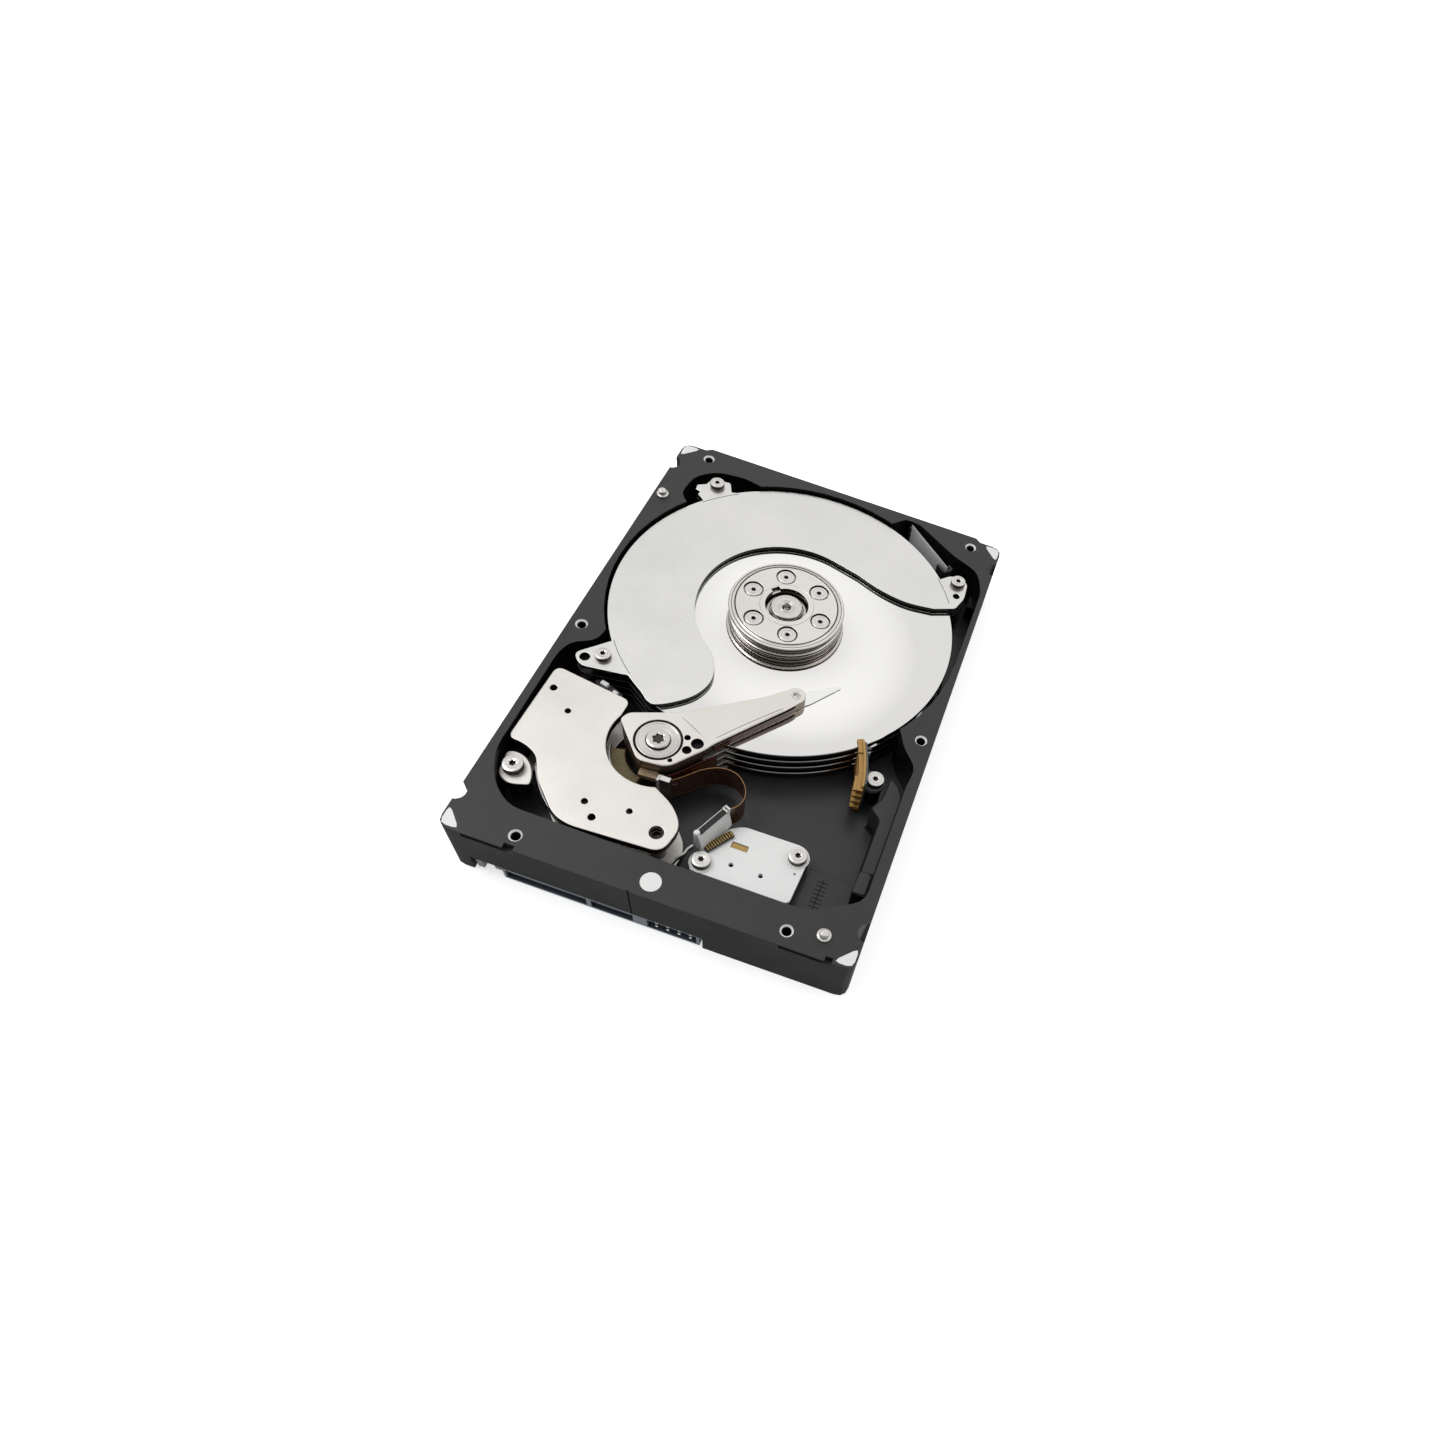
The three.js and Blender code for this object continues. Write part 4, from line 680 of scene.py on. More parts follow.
def make_clamp():
    body = lathe("clamp_body", SPINDLE, [(6, 15.9), (12.6, 15.9), (12.6, 15.25), (15.8, 15.25),
            (15.8, 15.75), (15.55, 15.85), (15.8, 15.95), (15.8, 16.6), (15.3, 16.75), (15.3, 17.3),
            (15.15, 17.35), (15.3, 17.4), (15.3, 17.95), (15.95, 18.15), (16, 18.9), (15.75, 19.2),
            (15.2, 19.25), (15.1, 19.15), (14.6, 19.2), (14.35, 19.4), (14.2, 19.25), (14.1, 18.2),
            (6, 18.2)], 192, closed=True, soft=0.06)
    put(body, "clamp", "nickel_plate", "disk_clamp", body="spindle")
    # The body's upright sides take painted shade.
    paint_shade_on_sides(body, "clamp_side_painted_shade")
    # Thin dark rings at the face's steps, in the same painted shade.
    for i, (inner, outer, z) in enumerate(((14.0, 14.3, 19.385), (15.05, 15.2, 19.255))):
        line = lathe(f"clamp_line_{i + 1}", SPINDLE, [(inner, z - 0.1), (outer, z - 0.1), (outer, z),
                (inner, z)], 128, closed=True, soft=0.01)
        put(line, "clamp_side_painted_shade", "nickel_plate", body="spindle")
    screw_holes = [circle(place, 2.78, 44) for place in CLAMP_SCREWS]
    face = plate("clamp_face", circle(SPINDLE, 14.0, 144), [circle(SPINDLE, 7.42, 96)] + screw_holes, 18.21,
            19.38, 0.09)
    put(face, "clamp", "nickel_plate", body="spindle")
    eye = plate("clamp_eye", circle(SPINDLE, 7.40, 96), [clamp_keyway(6.0)], 17.4, 19.38, 0.03)
    put(eye, "clamp", "nickel_plate", body="spindle")
    # Painted shade on the upright sides of the face and the eye.
    paint_shade_on_sides(face, "clamp_side_painted_shade")
    paint_shade_on_sides(eye, "clamp_side_painted_shade")


def make_hub():
    barrel = lathe("hub_barrel", SPINDLE, [(2.66, 5), (4.2, 5), (4.2, 13), (11.5, 13), (11.5, 5), (14.9, 5),
            (14.9, 6.08), (12.4, 6.08), (12.4, 15.8), (5.75, 15.8), (5.75, 17.2), (5.5, 17.4), (4.9, 17.4),
            (4.7, 17.15), (2.66, 17.1)], 128, closed=True, soft=0.08)
    put(barrel, "hub", "bare_aluminium", "spindle_hub", body="spindle")
    cap = lathe("motor_base", SPINDLE, [(0.6, 0.8), (5, 0.8), (5.4, 1.1), (7.5, 1.1), (7.9, 0.8),
            (13.6, 0.8), (14.2, 1.1), (14.2, 4.4), (2.6, 4.4), (2.6, 17.7), (4.4, 17.7), (4.4, 18.6),
            (4.2, 18.8), (2.15, 18.8), (2.05, 18.68), (1.95, 18.8), (1.5, 18.8), (1.2, 18.55), (1.05, 18.3),
            (1.15, 18.05), (1.05, 17.8), (1.15, 17.55), (1.05, 17.3), (1.15, 17.0), (1.1, 15), (0, 14.6)],
            96, soft=0.07)
    put(cap, "hub", "machined_steel", "spindle_motor_base")


# ---- Air dampers ----
def damper_outline():
    """One damper with its three ears, anticlockwise from the right-hand ear."""
    left_ear = [(-30.9, 133.3, 0.3), (-32.6, 136.9, 0.8), (-38.1, 136.0, 0.6), (-38.9, 133.2, 0.4),
            (-41.2, 131.8, 0.5), (-40.9, 129.9, 0.3), (-39.4, 129.5, 0.3), (-39.5, 128.2, 0.3)]
    low_ear = [(-45.6, 59, 2), (-42.4, 55.8, 2), (-31, 57.5, 1)]
    right_ear = [(43.8, 117.6, 1), (45.2, 122.5, 1), (44.7, 129.4, 2.5), (39.4, 129.8, 1.5)]
    lobe = spline([(-22.6, 52.4), (-20, 51.8), (-15.4, 54.8), (-11.4, 59.4), (-9.8, 65.4), (-12, 72),
            (-17, 77), (-21.4, 82)], 5)
    tail = spline([(14, 117.8), (22, 115), (30, 113.8), (38, 114.8)], 5)
    return rounded([*arc(SPINDLE, 48.2, 40.5, 127.7, 44), *left_ear, *arc(SPINDLE, 48.2, 140.3, 217.1, 40),
            *low_ear, *arc(SPINDLE, 48.2, 231.7, 239, 5), *lobe, *arc(SPINDLE, 25, 200, 74, 48), *tail,
            *right_ear])


def make_dampers():
    outline = damper_outline()
    holes = [circle(place, CLEARANCE_HOLE_R, 28) for place in DAMPER_SCREWS]
    holes += [circle((42.8, 122.4), 1.0, 28), circle((-42.4, 58.9), CLEARANCE_HOLE_R, 28)]
    layers = [(15.7, DAMPER_TOP)] + [(m - 0.3, m + 0.3) for m in SPACE_MIDDLES]
    for i, (bottom, top) in enumerate(layers):
        damper = plate(f"damper_{i + 1}", outline, holes, bottom, top, 0.1)
        # The lower dampers, down between the disks, take dark painted shade all over; the top one keeps its
        # aluminium. All have painted shade on their sides.
        put(damper, "dark_painted_shade" if i else "damper", "bare_aluminium", f"air_damper_{i + 1}")
        paint_shade_on_sides(damper, "dark_painted_shade")


def make_damper_lines():
    """A dark line painted where each ear meets the round of the top damper: the shade of a fine step."""
    low, high = DAMPER_TOP - 0.02, DAMPER_TOP + 0.02
    lines = [strip("line", arc(SPINDLE, 47.6, start, end, 14), low, high, 0.16)
            for start, end in ((29, 41), (127, 141), (217, 231.5))]
    put(join("damper_shade_lines", lines), "socket", "bare_aluminium")


# ---- Magnet yokes ----
def yoke_throat():
    return arc(PIVOT, 12.8, 290, 160, 24)


def make_yokes():
    top_corners = [(-25.9, 50.4, 2), (-47.4, 53.4, 2.5), (-48.2, 28.6, 2), (-43.6, 28.4, 2.5),
            (-39.6, 26.4, 2), (-36.4, 20.4, 2), (-28.6, 12.6, 3), (-24, 11.4, 2), (-1.2, 12.6, 3),
            (0.4, 20.6, 3), (-3.6, 25.6, 3)]
    bottom_corners = [(-25.9, 50.4, 2), (-47.4, 53, 2.5), (-45.6, 34, 2), (-45.6, 28, 1), (-39.6, 26.4, 2),
            (-36.4, 20.4, 2), (-28.6, 12.6, 3), (-24, 11.4, 2), (0.4, 11.8, 3), (1.6, 20.2, 4),
            (-3.2, 26, 3)]
    small_holes = [circle(p, r, 28) for p, r in (((-45, 46.6), 0.9), ((-38.6, 41.4), 0.75),
            ((-23.4, 18.8), 0.8), ((-12.6, 20.2), 0.75), ((-20, 15.4), 0.9))]
    small_holes.append(circle(YOKE_HOLE, 1.75, 40))
    throat = yoke_throat()
    upper = plate("yoke_upper", rounded(top_corners + throat), small_holes, *YOKE_TOP, 0.22)
    put(upper, "nickel", "nickel_plate", "yoke_plate_top")
    # The plate's upright sides take painted shade.
    paint_shade_on_sides(upper, "dark_painted_shade")
    lower = plate("yoke_lower", rounded(bottom_corners + throat), [], *YOKE_BOTTOM, 0.3)
    put(lower, "nickel", "nickel_plate", "yoke_plate_bottom")
    # The plate's upright sides take painted shade.
    paint_shade_on_sides(lower, "dark_painted_shade")
    for i, place in enumerate([(-45.3, 50.2), YOKE_HOLE]):
        post = lathe(f"yoke_post_{i + 1}", place, [(1.9, 6.9), (1.9, 11.8), (1.5, 12.2), (1.5, 13.0),
                (1.2, 13.3), (0.5, 13.3), (0.4, 12.9), (0, 12.9)], 40)
        put(post, "dark_steel", "nickel_plate")


def make_yoke_well():
    """The step inside the upper plate's large hole, in dark painted shade."""
    well = lathe("yoke_well_shade", YOKE_HOLE, [(1.95, 13.4), (1.95, 14.3), (1.72, 14.4), (1.72, 16.35),
            (1.5, 16.3), (1.35, 15.4), (1.1, 15.3), (1.0, 14.0), (0, 13.9)], 6, soft=0.05)
    put(well, "socket", "nickel_plate")


def make_corner_clamp():
    shape = rounded([(-47.8, 26.6, 1.5), (-46.8, 19.4, 2), (-43.2, 17.6, 3), (-38.2, 19.4, 1),
            (-39, 22.8, 2), (-41.6, 26, 2), (-44.6, 27.2, 2)])
    ear = plate("corner_ear", shape, [circle(YOKE_SCREW, CLEARANCE_HOLE_R, 28)], 12.7, 14, 0.3)
    put(ear, "nickel", "nickel_plate", "yoke_corner_clamp")
    post = lathe("corner_post", YOKE_SCREW, [(2.7, 4.9), (2.7, 12.9), (1.3, 12.95), (1.3, 4.9)], 48,
            closed=True)
    put(post, "dark_steel", "nickel_plate")
    # The ear's upright sides take painted shade.
    paint_shade_on_sides(ear, "dark_painted_shade")


# ---- Actuator ----
def block_outline():
    back = [(-3.6, 10.6, 1.2), (-6.2, 9.6, 1), (-7, -3.6, 2), (-0.4, -7.9, 3), (9.6, -7, 1.5)]
    return rounded([*arc((0, 0), 7.5, -30, 85, 16), *back])


def arm_tip():
    return arc((ARM_REACH, 0), 2.5, -80, 80, 20)


def make_actuator_top():
    """The thick top arm and the block's upper face, with a raised pad round the pivot."""
    shape = rounded([(11.6, -6.4, 2), (34, -3.4, 2), *arm_tip(), (30.6, 2.5, 3), (8, 6, 2),
            (-3.6, 10.6, 1.2), (-6.2, 9.6, 1), (-7, -3.6, 2), (-1.0, -8.4, 2.2), (9.6, -7.1, 1.5)])
    small = [((6.9, -2.1), 0.82), ((8.4, -4.75), 1.6), ((5.25, -5.5), 1.2), ((0.3, -6.75), 0.6)]
    holes = [on_arm(circle(p, r, 28)) for p, r in small]
    bore = on_arm(circle((0, 0), 6.15, 80))
    tip_hole = on_arm(circle((ARM_REACH, 0), 1.15, 40))
    top = plate("arm_top", on_arm(shape), [bore, tip_hole, *holes], 15.6, ACTUATOR_TOP - 0.12, 0.15)
    put(top, "arm", "cast_aluminium", "arm_block", body="actuator")
    # The arm's upright sides take painted shade.
    paint_shade_on_sides(top, "arm_side_painted_shade")
    pad_shape = rounded([(8.1, 4.1, 0.5), (7.2, 6.1, 0.5), (-3.5, 10.4, 1.2), (-6.0, 9.4, 1),
            (-6.8, -3.5, 2), (-1.0, -8.2, 2.2), (9.6, -6.9, 1.5), (11.6, -6.2, 2), (33, -3.3, 0.5),
            (33, -2.7, 0.3), (14, -4.9, 2), (11.0, -4.6, 1)])
    pad = plate("arm_pad", on_arm(pad_shape), [bore, *holes], ACTUATOR_TOP - 0.14, ACTUATOR_TOP, 0.05)
    put(pad, "arm", "cast_aluminium", body="actuator")
    # A thin dark line along the pad's step: painted shade.
    step = strip("arm_step_shade_line", on_arm(spline([(7.5, 5.0), (8.2, 3.9), (9.6, 0), (11.0, -4.5),
            (12.2, -4.9), (22, -3.6), (33, -2.6)], 5)), ACTUATOR_TOP - 0.13, ACTUATOR_TOP - 0.08, 0.1)
    put(step, "socket", "cast_aluminium", body="actuator")
    # Black discs down in the arm's small holes: painted shade.
    floors = [lathe("hole_shade_floor", arm_spot(*p), [(r + 0.05, 15.7), (r + 0.05, 16.6), (0.2, 16.6)], 28,
            soft=0.02) for p, r in small]
    put(join("arm_hole_shade_floors", floors), "rubber", "cast_aluminium", body="actuator")
    for piece in (top, pad):
        for centre, radius in small:
            paint_shade_on_hole_walls(piece, arm_spot(*centre), radius + 0.15)


def paint_shade_on_hole_walls(obj, place, reach):
    """Gives the walls of a small hole a dark finish: painted shade."""
    obj.data.materials.append(MATERIAL["dark_painted_shade"])
    for polygon in obj.data.polygons:
        x, y = polygon.center.x / MM, (polygon.center.y - REAR_SHIFT) / MM
        if math.hypot(x - place[0], y - place[1]) < reach and abs(polygon.normal.z) < 0.4:
            polygon.material_index = len(obj.data.materials) - 1


def make_actuator_body():
    bore = on_arm(circle((0, 0), 6.1, 64))
    body = plate("arm_body", on_arm(block_outline()), [bore], 5, 15.58, 0.2)
    # The block takes the dark painted shade of the cast aluminium.
    put(body, "block", "cast_aluminium", body="actuator")
    shape = rounded([*arm_tip(), (30.6, 2.5, 2), (8, 6, 1), (-2, 6), (-2, -7), (11.6, -6.4, 1),
            (34, -3.4, 1)])
    tip_hole = on_arm(circle((ARM_REACH, 0), 1.45, 32))
    for i, middle in enumerate(SPACE_MIDDLES + [5.355]):
        arm = plate(f"arm_lower_{i + 1}", on_arm(shape), [bore, tip_hole], middle - 0.25, middle + 0.25,
                0.08)
        put(arm, "arm", "cast_aluminium", body="actuator")


def coil_loop(inner, outer, half, radius, steps=14):
    """The closed outline of an annular sector behind the pivot, with round corners."""
    corners = [*arc((0, 0), outer, 180 - half + 4, 180 + half - 4, steps),
            (*polar((0, 0), outer, 180 + half), radius), (*polar((0, 0), inner, 180 + half), radius),
            *arc((0, 0), inner, 180 + half - 6, 180 - half + 6, steps),
            (*polar((0, 0), inner, 180 - half), radius), (*polar((0, 0), outer, 180 - half), radius)]
    return on_arm(rounded(corners))


def make_coil():
    edge = plate("coil_frame", coil_loop(10.0, 30.6, 18.6, 2), [coil_loop(11.5, 29.5, 16.4, 1.5)], 9.3,
            11.9, 0.2)
    put(edge, "magnet", "cast_aluminium", body="actuator")
    turns = 7
    layers = []
    for i in range(turns):
        inset = 0.05 + i * 0.54
        outer = coil_loop(11.5 + inset, 29.45 - inset, 16.2 - i * 1.15, 1.5)
        inner = coil_loop(11.5 + inset + 0.5, 29.45 - inset - 0.5, 16.2 - (i + 0.93) * 1.15, 1.3)
        layers.append(plate(f"winding_{i}", outer, [inner], 9.35, 11.85, 0.18))
    winding = join("coil_winding", layers)
    put(winding, "copper", "copper", "voice_coil", body="actuator")
    nose = arc((0, 0), 12.3, 148, 216, 24) + arc((0, 0), 8.4, 216, 148, 20)
    put(plate("coil_nose", on_arm(nose), [], 9.3, 12.4, 0.3), "coil_side", "copper", body="actuator")
    rim = arc((0, 0), 12.62, 146, 218, 24) + arc((0, 0), 12.1, 218, 146, 24)
    put(plate("coil_rim", on_arm(rim), [], 9.6, 13.4, 0.12), "magnet", "cast_aluminium", body="actuator")
    ledge = box("block_ledge", arm_spot(-5.3, -6.2), (4.8, 2.2), 4, 13.6, 15.2, 0.15)
    put(ledge, "ledge", "cast_aluminium", body="actuator")


def make_bearing():
    top = ACTUATOR_TOP
    outer = lathe("bearing_sleeve", PIVOT, [(2.56, 5.1), (5.6, 5.1), (5.6, top - 0.1), (5.45, top + 0.04),
            (5.1, top + 0.04), (5.0, top - 0.05), (3.2, top - 0.05), (3.1, top - 0.25), (2.56, top - 0.3)],
            112, closed=True, soft=0.06)
    put(outer, "bearing", "machined_steel", "pivot_bearing", body="actuator")
    # The sleeve's upright sides take painted shade.
    paint_shade_on_sides(outer, "dark_painted_shade")
    # A black ring filling the gap round the sleeve: painted shade.
    gap = lathe("bearing_gap_shade", PIVOT, [(5.64, 6), (6.1, 6), (6.1, top - 0.7), (5.64, top - 0.7)], 80,
            closed=True, soft=0.03)
    put(gap, "rubber", "rubber", body="actuator")
    screw = torx_screw("pivot_screw", PIVOT, top - 0.02, top + 0.6, 2.95, 1.35, 3.6, ring_groove=False)
    put_screw(screw, "pivot_shaft", "bearing")


def make_suspensions():
    """Stainless load beams on both sides of each arm, with a slider by each tip and a boss between them."""
    arms = [(15.6, 18.4)] + [(m - 0.25, m + 0.25) for m in SPACE_MIDDLES] + [(5.08, 5.63)]
    beam = on_arm(rounded([(35.2, 2.1, 0.6), (35.2, -2.1, 0.6), (41.4, -2.1, 1), (49, -0.8, 0.5),
            (51.6, -0.35, 0.3), (51.6, 0.35, 0.3), (49, 0.8, 0.5), (41.4, 2.1, 1)]))
    window = on_arm(rounded([(42.5, 0.9, 0.3), (42.5, -0.9, 0.3), (46, -0.5, 0.3), (46, 0.5, 0.3)]))

    def pair(holes, beam_low, slider_low):
        return [plate("beam", beam, holes, beam_low, beam_low + 0.15, 0.03),
                box("slider", arm_spot(49.8, 0), (1.2, 1), ARM_ANGLE, slider_low, slider_low + 0.15, 0.03)]

    for i, (low, high) in enumerate(arms):
        first, last = i == 0, i == len(arms) - 1
        sides = [] if last else pair([] if first else [window], low - 0.2, low - 0.33)
        sides += [] if first else pair([window], high + 0.05, high + 0.18)
        boss_low = low + 0.1 if last else low - 0.2
        boss_high = high - 0.15 if first else high + 0.2
        boss_r = 1.1 if first else 1.4
        ring = [(0.8, boss_low), (boss_r, boss_low), (boss_r, boss_high), (0.8, boss_high)]
        sides.append(lathe("boss", arm_spot(ARM_REACH, 0), ring, 40, closed=True, soft=0.04))
        put(join(f"suspension_{i + 1}", sides), "spring", "spring_steel", f"head_suspension_{i + 1}",
                body="actuator")


def make_arm_flex():
    """The film that runs from the cable's clamp to the arm, with its printed lines."""
    board_route = [(-3.2, -9.1), (2, -8.9), (5, -8.6), (8.5, -8.2), (12.2, -7.9)]
    board = strip("preamp_film", on_arm(spline(board_route, 6)), 6.4, 15.45, 0.35)
    put(board, "film_dark", "polyimide", "preamp_board", body="actuator")
    line_route = on_arm(spline([(x, y - 0.22) for x, y in board_route[2:]], 6))
    for i in range(7):
        z = 7.6 + i * 1.1
        put(strip(f"preamp_line_{i + 1}", line_route, z, z + 0.14, 0.06), "trace", "polyimide",
                body="actuator")
    chip = box("preamp_chip", arm_spot(6, -8.9), (3.6, 0.7), ARM_ANGLE + 6, 9, 12.4, 0.1)
    put(chip, "chip", "polyimide", body="actuator")
    side_route = [(12, -6.75), (20, -5.65), (28, -4.6), (34.5, -3.7), (36.6, -3.1)]
    side = strip("arm_side_film", on_arm(spline(side_route, 6)), 15.9, 17.9, 0.16)
    put(side, "film_dark", "polyimide", body="actuator")
    line = strip("arm_side_line", on_arm(spline([(x, y - 0.1) for x, y in side_route], 6)), 16.5, 16.75,
            0.08)
    put(line, "trace", "polyimide", body="actuator")


def make_flex_clamp():
    outer = box("flex_clamp", arm_spot(-2.6, -10.2), (3.2, 1.6), ARM_ANGLE - 45, 8.0, 16.8, 0.2)
    put(outer, "screw", "cast_aluminium", body="actuator")
    # The clamp's upright sides take dark steel as painted shade.
    paint_shade_on_sides(outer, "dark_steel")
    lip = box("flex_clamp_lip", arm_spot(-3.9, -9.6), (0.7, 1.9), ARM_ANGLE - 45, 8.4, 17.2, 0.2)
    put(lip, "screw", "cast_aluminium", body="actuator")
    foot = box("flex_clamp_foot", arm_spot(-1.6, -9.2), (4.6, 2.2), ARM_ANGLE - 20, 8.2, 13.4, 0.2)
    put(foot, "film_dark", "polyimide", body="actuator")


# ---- Cable, bracket, header ----
def make_flex_cable():
    """The cable and its two bright edges, which bend between the upright and the actuator."""
    route = spline([(-8.2, 32.6), (-5.2, 35.4), (-1.6, 39.2), (2.4, 41.4), (6.4, 41.3), (9.6, 38.8),
            (10.9, 35.6), (10.4, 32.8), (8.6, 30.8)], 8)
    for name, low, high, thickness, material in (
            ("cable_film", 7.3, 14.7, 0.16, "film"), ("cable_edge_upper", 14.68, 14.8, 0.2, "trace"),
            ("cable_edge_lower", 7.22, 7.34, 0.2, "trace")):
        ribbon = strip(name, route, low, high, thickness)
        ribbon.data.materials.append(MATERIAL[material])
        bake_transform(ribbon)
        if name == "cable_film":
            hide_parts("flex_cable")


def make_bracket():
    shape = rounded([(4.2, 14.6, 1.5), (30.4, 14.6, 1.5), (31, 29.4, 2), (28.6, 31.2, 2), (12.6, 31, 1.5),
            (9.6, 29, 1), (5, 20, 1)])
    holes = [circle(place, CLEARANCE_HOLE_R, 28) for place in BRACKET_SCREWS]
    holes += [circle(p, r, 28) for p, r in (((13.6, 19.6), 0.6), ((21.4, 19.4), 0.6), ((29, 23), 0.3))]
    holes.append(box_outline(BRACKET_WINDOW, (4.3, 1.7), 0, 0.2, 3))
    put(plate("bracket_plate", shape, holes, 7.6, 8.8, 0.15), "white_metal", "white_steel", "flex_bracket")
    fill = box("bracket_window", BRACKET_WINDOW, (4.1, 1.5), 0, 7.7, 8.5, 0.08)
    put(fill, "gold", "gold_contacts")
    ring = [(CLEARANCE_HOLE_R, 8.8), (3.1, 8.8), (3.0, 8.9), (CLEARANCE_HOLE_R, 8.9)]
    for i, place in enumerate(BRACKET_SCREWS):
        washer = lathe(f"bracket_boss_{i + 1}", place, ring, 56, closed=True, soft=0.03)
        put(washer, "white_metal", "white_steel")


def make_upright():
    """The white block on the bracket, where the cable ends, with a dark slotted strip along its top."""
    def there(along, across):
        return spot(UPRIGHT_PLACE, UPRIGHT_ANGLE, along, across)

    def block(name, along, across, size, low, high, bevel):
        return box(name, there(along, across), size, UPRIGHT_ANGLE, low, high, bevel)

    section = [(1.25, 8.75), (1.25, 13.9), (1.05, 14.1), (-0.1, 14.1), (-0.35, 13.8), (-1.3, 9.8),
            (-1.3, 8.75)]
    loops = []
    for along in (-5.2, -5.05, -4.0, 4.0, 5.25, 5.4):
        inset = 0.15 if abs(along) > 5.1 else 0
        loops.append([(*there(along, v * (1 - inset)), z - inset) for v, z in section])
    put(loft("upright_block", loops, sharp=30), "white_resin", "white_steel")
    put(block("upright_strip", 0.1, 0.5, (8.6, 1.2), 13.7, 14.5, 0.08), "rubber", "black_plastic")
    bars = [block("bar", -3.9 + i * 0.88, 0.5, (0.16, 0.8), 14.2, 14.55, 0.04) for i in range(10)]
    put(join("upright_bars", bars), "socket", "gold_contacts")
    put(block("upright_rail", -0.2, 1.35, (9.2, 0.22), 12.4, 14.6, 0.06), "spring", "white_steel")
    knob = lathe("upright_knob", there(-4.6, 0.9), [(0.9, 8.8), (0.9, 14.2), (0.75, 14.75), (0.3, 14.9),
            (0, 14.92)], 36, soft=0.1)
    put(knob, "white_resin", "white_steel")
    clips = [block("clip", *where, 12.8, 14.9, 0.1) for where in (
            (4.7, 0.5, (0.5, 1.5)), (5.7, 0.5, (0.5, 1.5)), (5.2, 1.3, (1.5, 0.35)))]
    put(join("upright_clip", clips), "screw", "white_steel")
    route = spline([(3.4, 20.4), (2.6, 19.0), (2.2, 17.4), (1.0, 15.6), (0.4, 13.2)], 6)
    put(strip("upright_wire", route, 9.2, 10.6, 0.5), "magnet", "white_steel")


def make_header():
    bed = box("header_bed", HEADER_PLACE, (8.2, 1.9), HEADER_ANGLE, 8.9, 9.7, 0.12)
    put(bed, "black_plastic", "black_plastic")
    places = [spot(HEADER_PLACE, HEADER_ANGLE, -3.6 + i * 0.72, 0) for i in range(11)]
    contacts = [box("contact", place, (0.34, 1.7), HEADER_ANGLE, 9.4, 10.1, 0.1) for place in places]
    put(join("header_contacts", contacts), "gold", "gold_contacts", "header_connector")


# ---- Ramp ----
def disk_limit(radius):
    """The angle at which a circle about the pivot, coming from the front, reaches the disks."""
    apart = math.dist(PIVOT, SPINDLE)
    bearing = math.degrees(math.atan2(SPINDLE[1] - PIVOT[1], SPINDLE[0] - PIVOT[0]))
    cosine = (apart ** 2 + radius ** 2 - DISK_SPACE_R ** 2) / (2 * apart * radius)
    return bearing - math.degrees(math.acos(cosine))


def ramp_band(inner, outer, start, end=None, steps=10):
    """Part of a ring about the pivot. Without an end it stops clear of the disks."""
    outer_end = disk_limit(outer) if end is None else end
    inner_end = disk_limit(inner) if end is None else end
    return arc(PIVOT, outer, start, outer_end, steps) + arc(PIVOT, inner, inner_end, start, steps)


def overhanging(name, inner, outer, start, end, low, high):
    """A wall that stops clear of the disks, with a top that reaches over them."""
    over = PLATTER_TOPS[0] + RAMP_LIFT
    return join(name, [plate("wall", ramp_band(inner, outer, start), [], low, over + 0.15, 0.12),
            plate("over", ramp_band(inner, outer, start, end), [], over, high, 0.12)])


def make_ramp():
    over = PLATTER_TOPS[0] + RAMP_LIFT
    fingers = []
    for top in PLATTER_TOPS:
        low = top - PLATTER_THICKNESS - 0.15
        fingers += [plate("finger", ramp_band(50.7, 52.4, 8.2), [], low, top + 0.1, 0.18),
                plate("tooth", ramp_band(49.9, 51.2, 8.4, 13.5), [], low + 0.3, top - 0.3, 0.15)]
    fingers.append(plate("over", ramp_band(50.7, 52.4, 21, 25.8), [], over, over + 0.3, 0.08))
    comb = join("ramp_comb", fingers)
    put(comb, "tan", "tan_plastic", "load_ramp")
    # The comb's upright sides take the darker ramp finish as painted shade.
    paint_shade_on_sides(comb, "tan_dark")
    put(overhanging("ramp_spine", 51.9, 52.5, 9, 25, 5.5, 16.5), "tan", "tan_plastic")
    put(overhanging("ramp_plate", 52.5, 53.05, 10, 24.3, 5.4, 16.2), "grey_plastic", "tan_plastic")
    ear = rounded([(37.0, 51.9, 0.6), (39.8, 51.2, 1.6), (42.2, 53, 1.8), (42.2, 56, 1.8),
            (39.8, 57.6, 1.4), (36.9, 57.4, 0.6)])
    foot = plate("ramp_foot", ear, [circle(RAMP_SCREW, CLEARANCE_HOLE_R, 28)], 10.7, 12.2, 0.2)
    put(foot, "grey_plastic", "tan_plastic")
    for i, z in enumerate((15.2, 12.6)):
        prong = box(f"ramp_prong_{i + 1}", polar(PIVOT, 53.3, 22.5), (1.6, 0.8), 20, z, z + 0.7, 0.1)
        put(prong, "grey_plastic", "tan_plastic")


# ---- Filter ----
def pouch_point(side, column, row):
    """A point of the pouch's front or back, which swells from the edges and is slightly creased."""
    u, v = column / POUCH_COLUMNS, row / POUCH_ROWS
    swell = (max(0, math.sin(math.pi * u)) ** 0.45) * (max(0, math.sin(math.pi * v)) ** 0.45)
    crease = 0.06 * noise.noise(Vector((u * 9, v * 7, side * 3.1)))
    depth = side * (0.08 + swell * (0.62 + crease))
    place = spot(FILTER_PLACE, FILTER_ANGLE, (u - 0.5) * FILTER_LENGTH, depth)
    return (*place, FILTER_BOTTOM + (FILTER_TOP - FILTER_BOTTOM) * v)


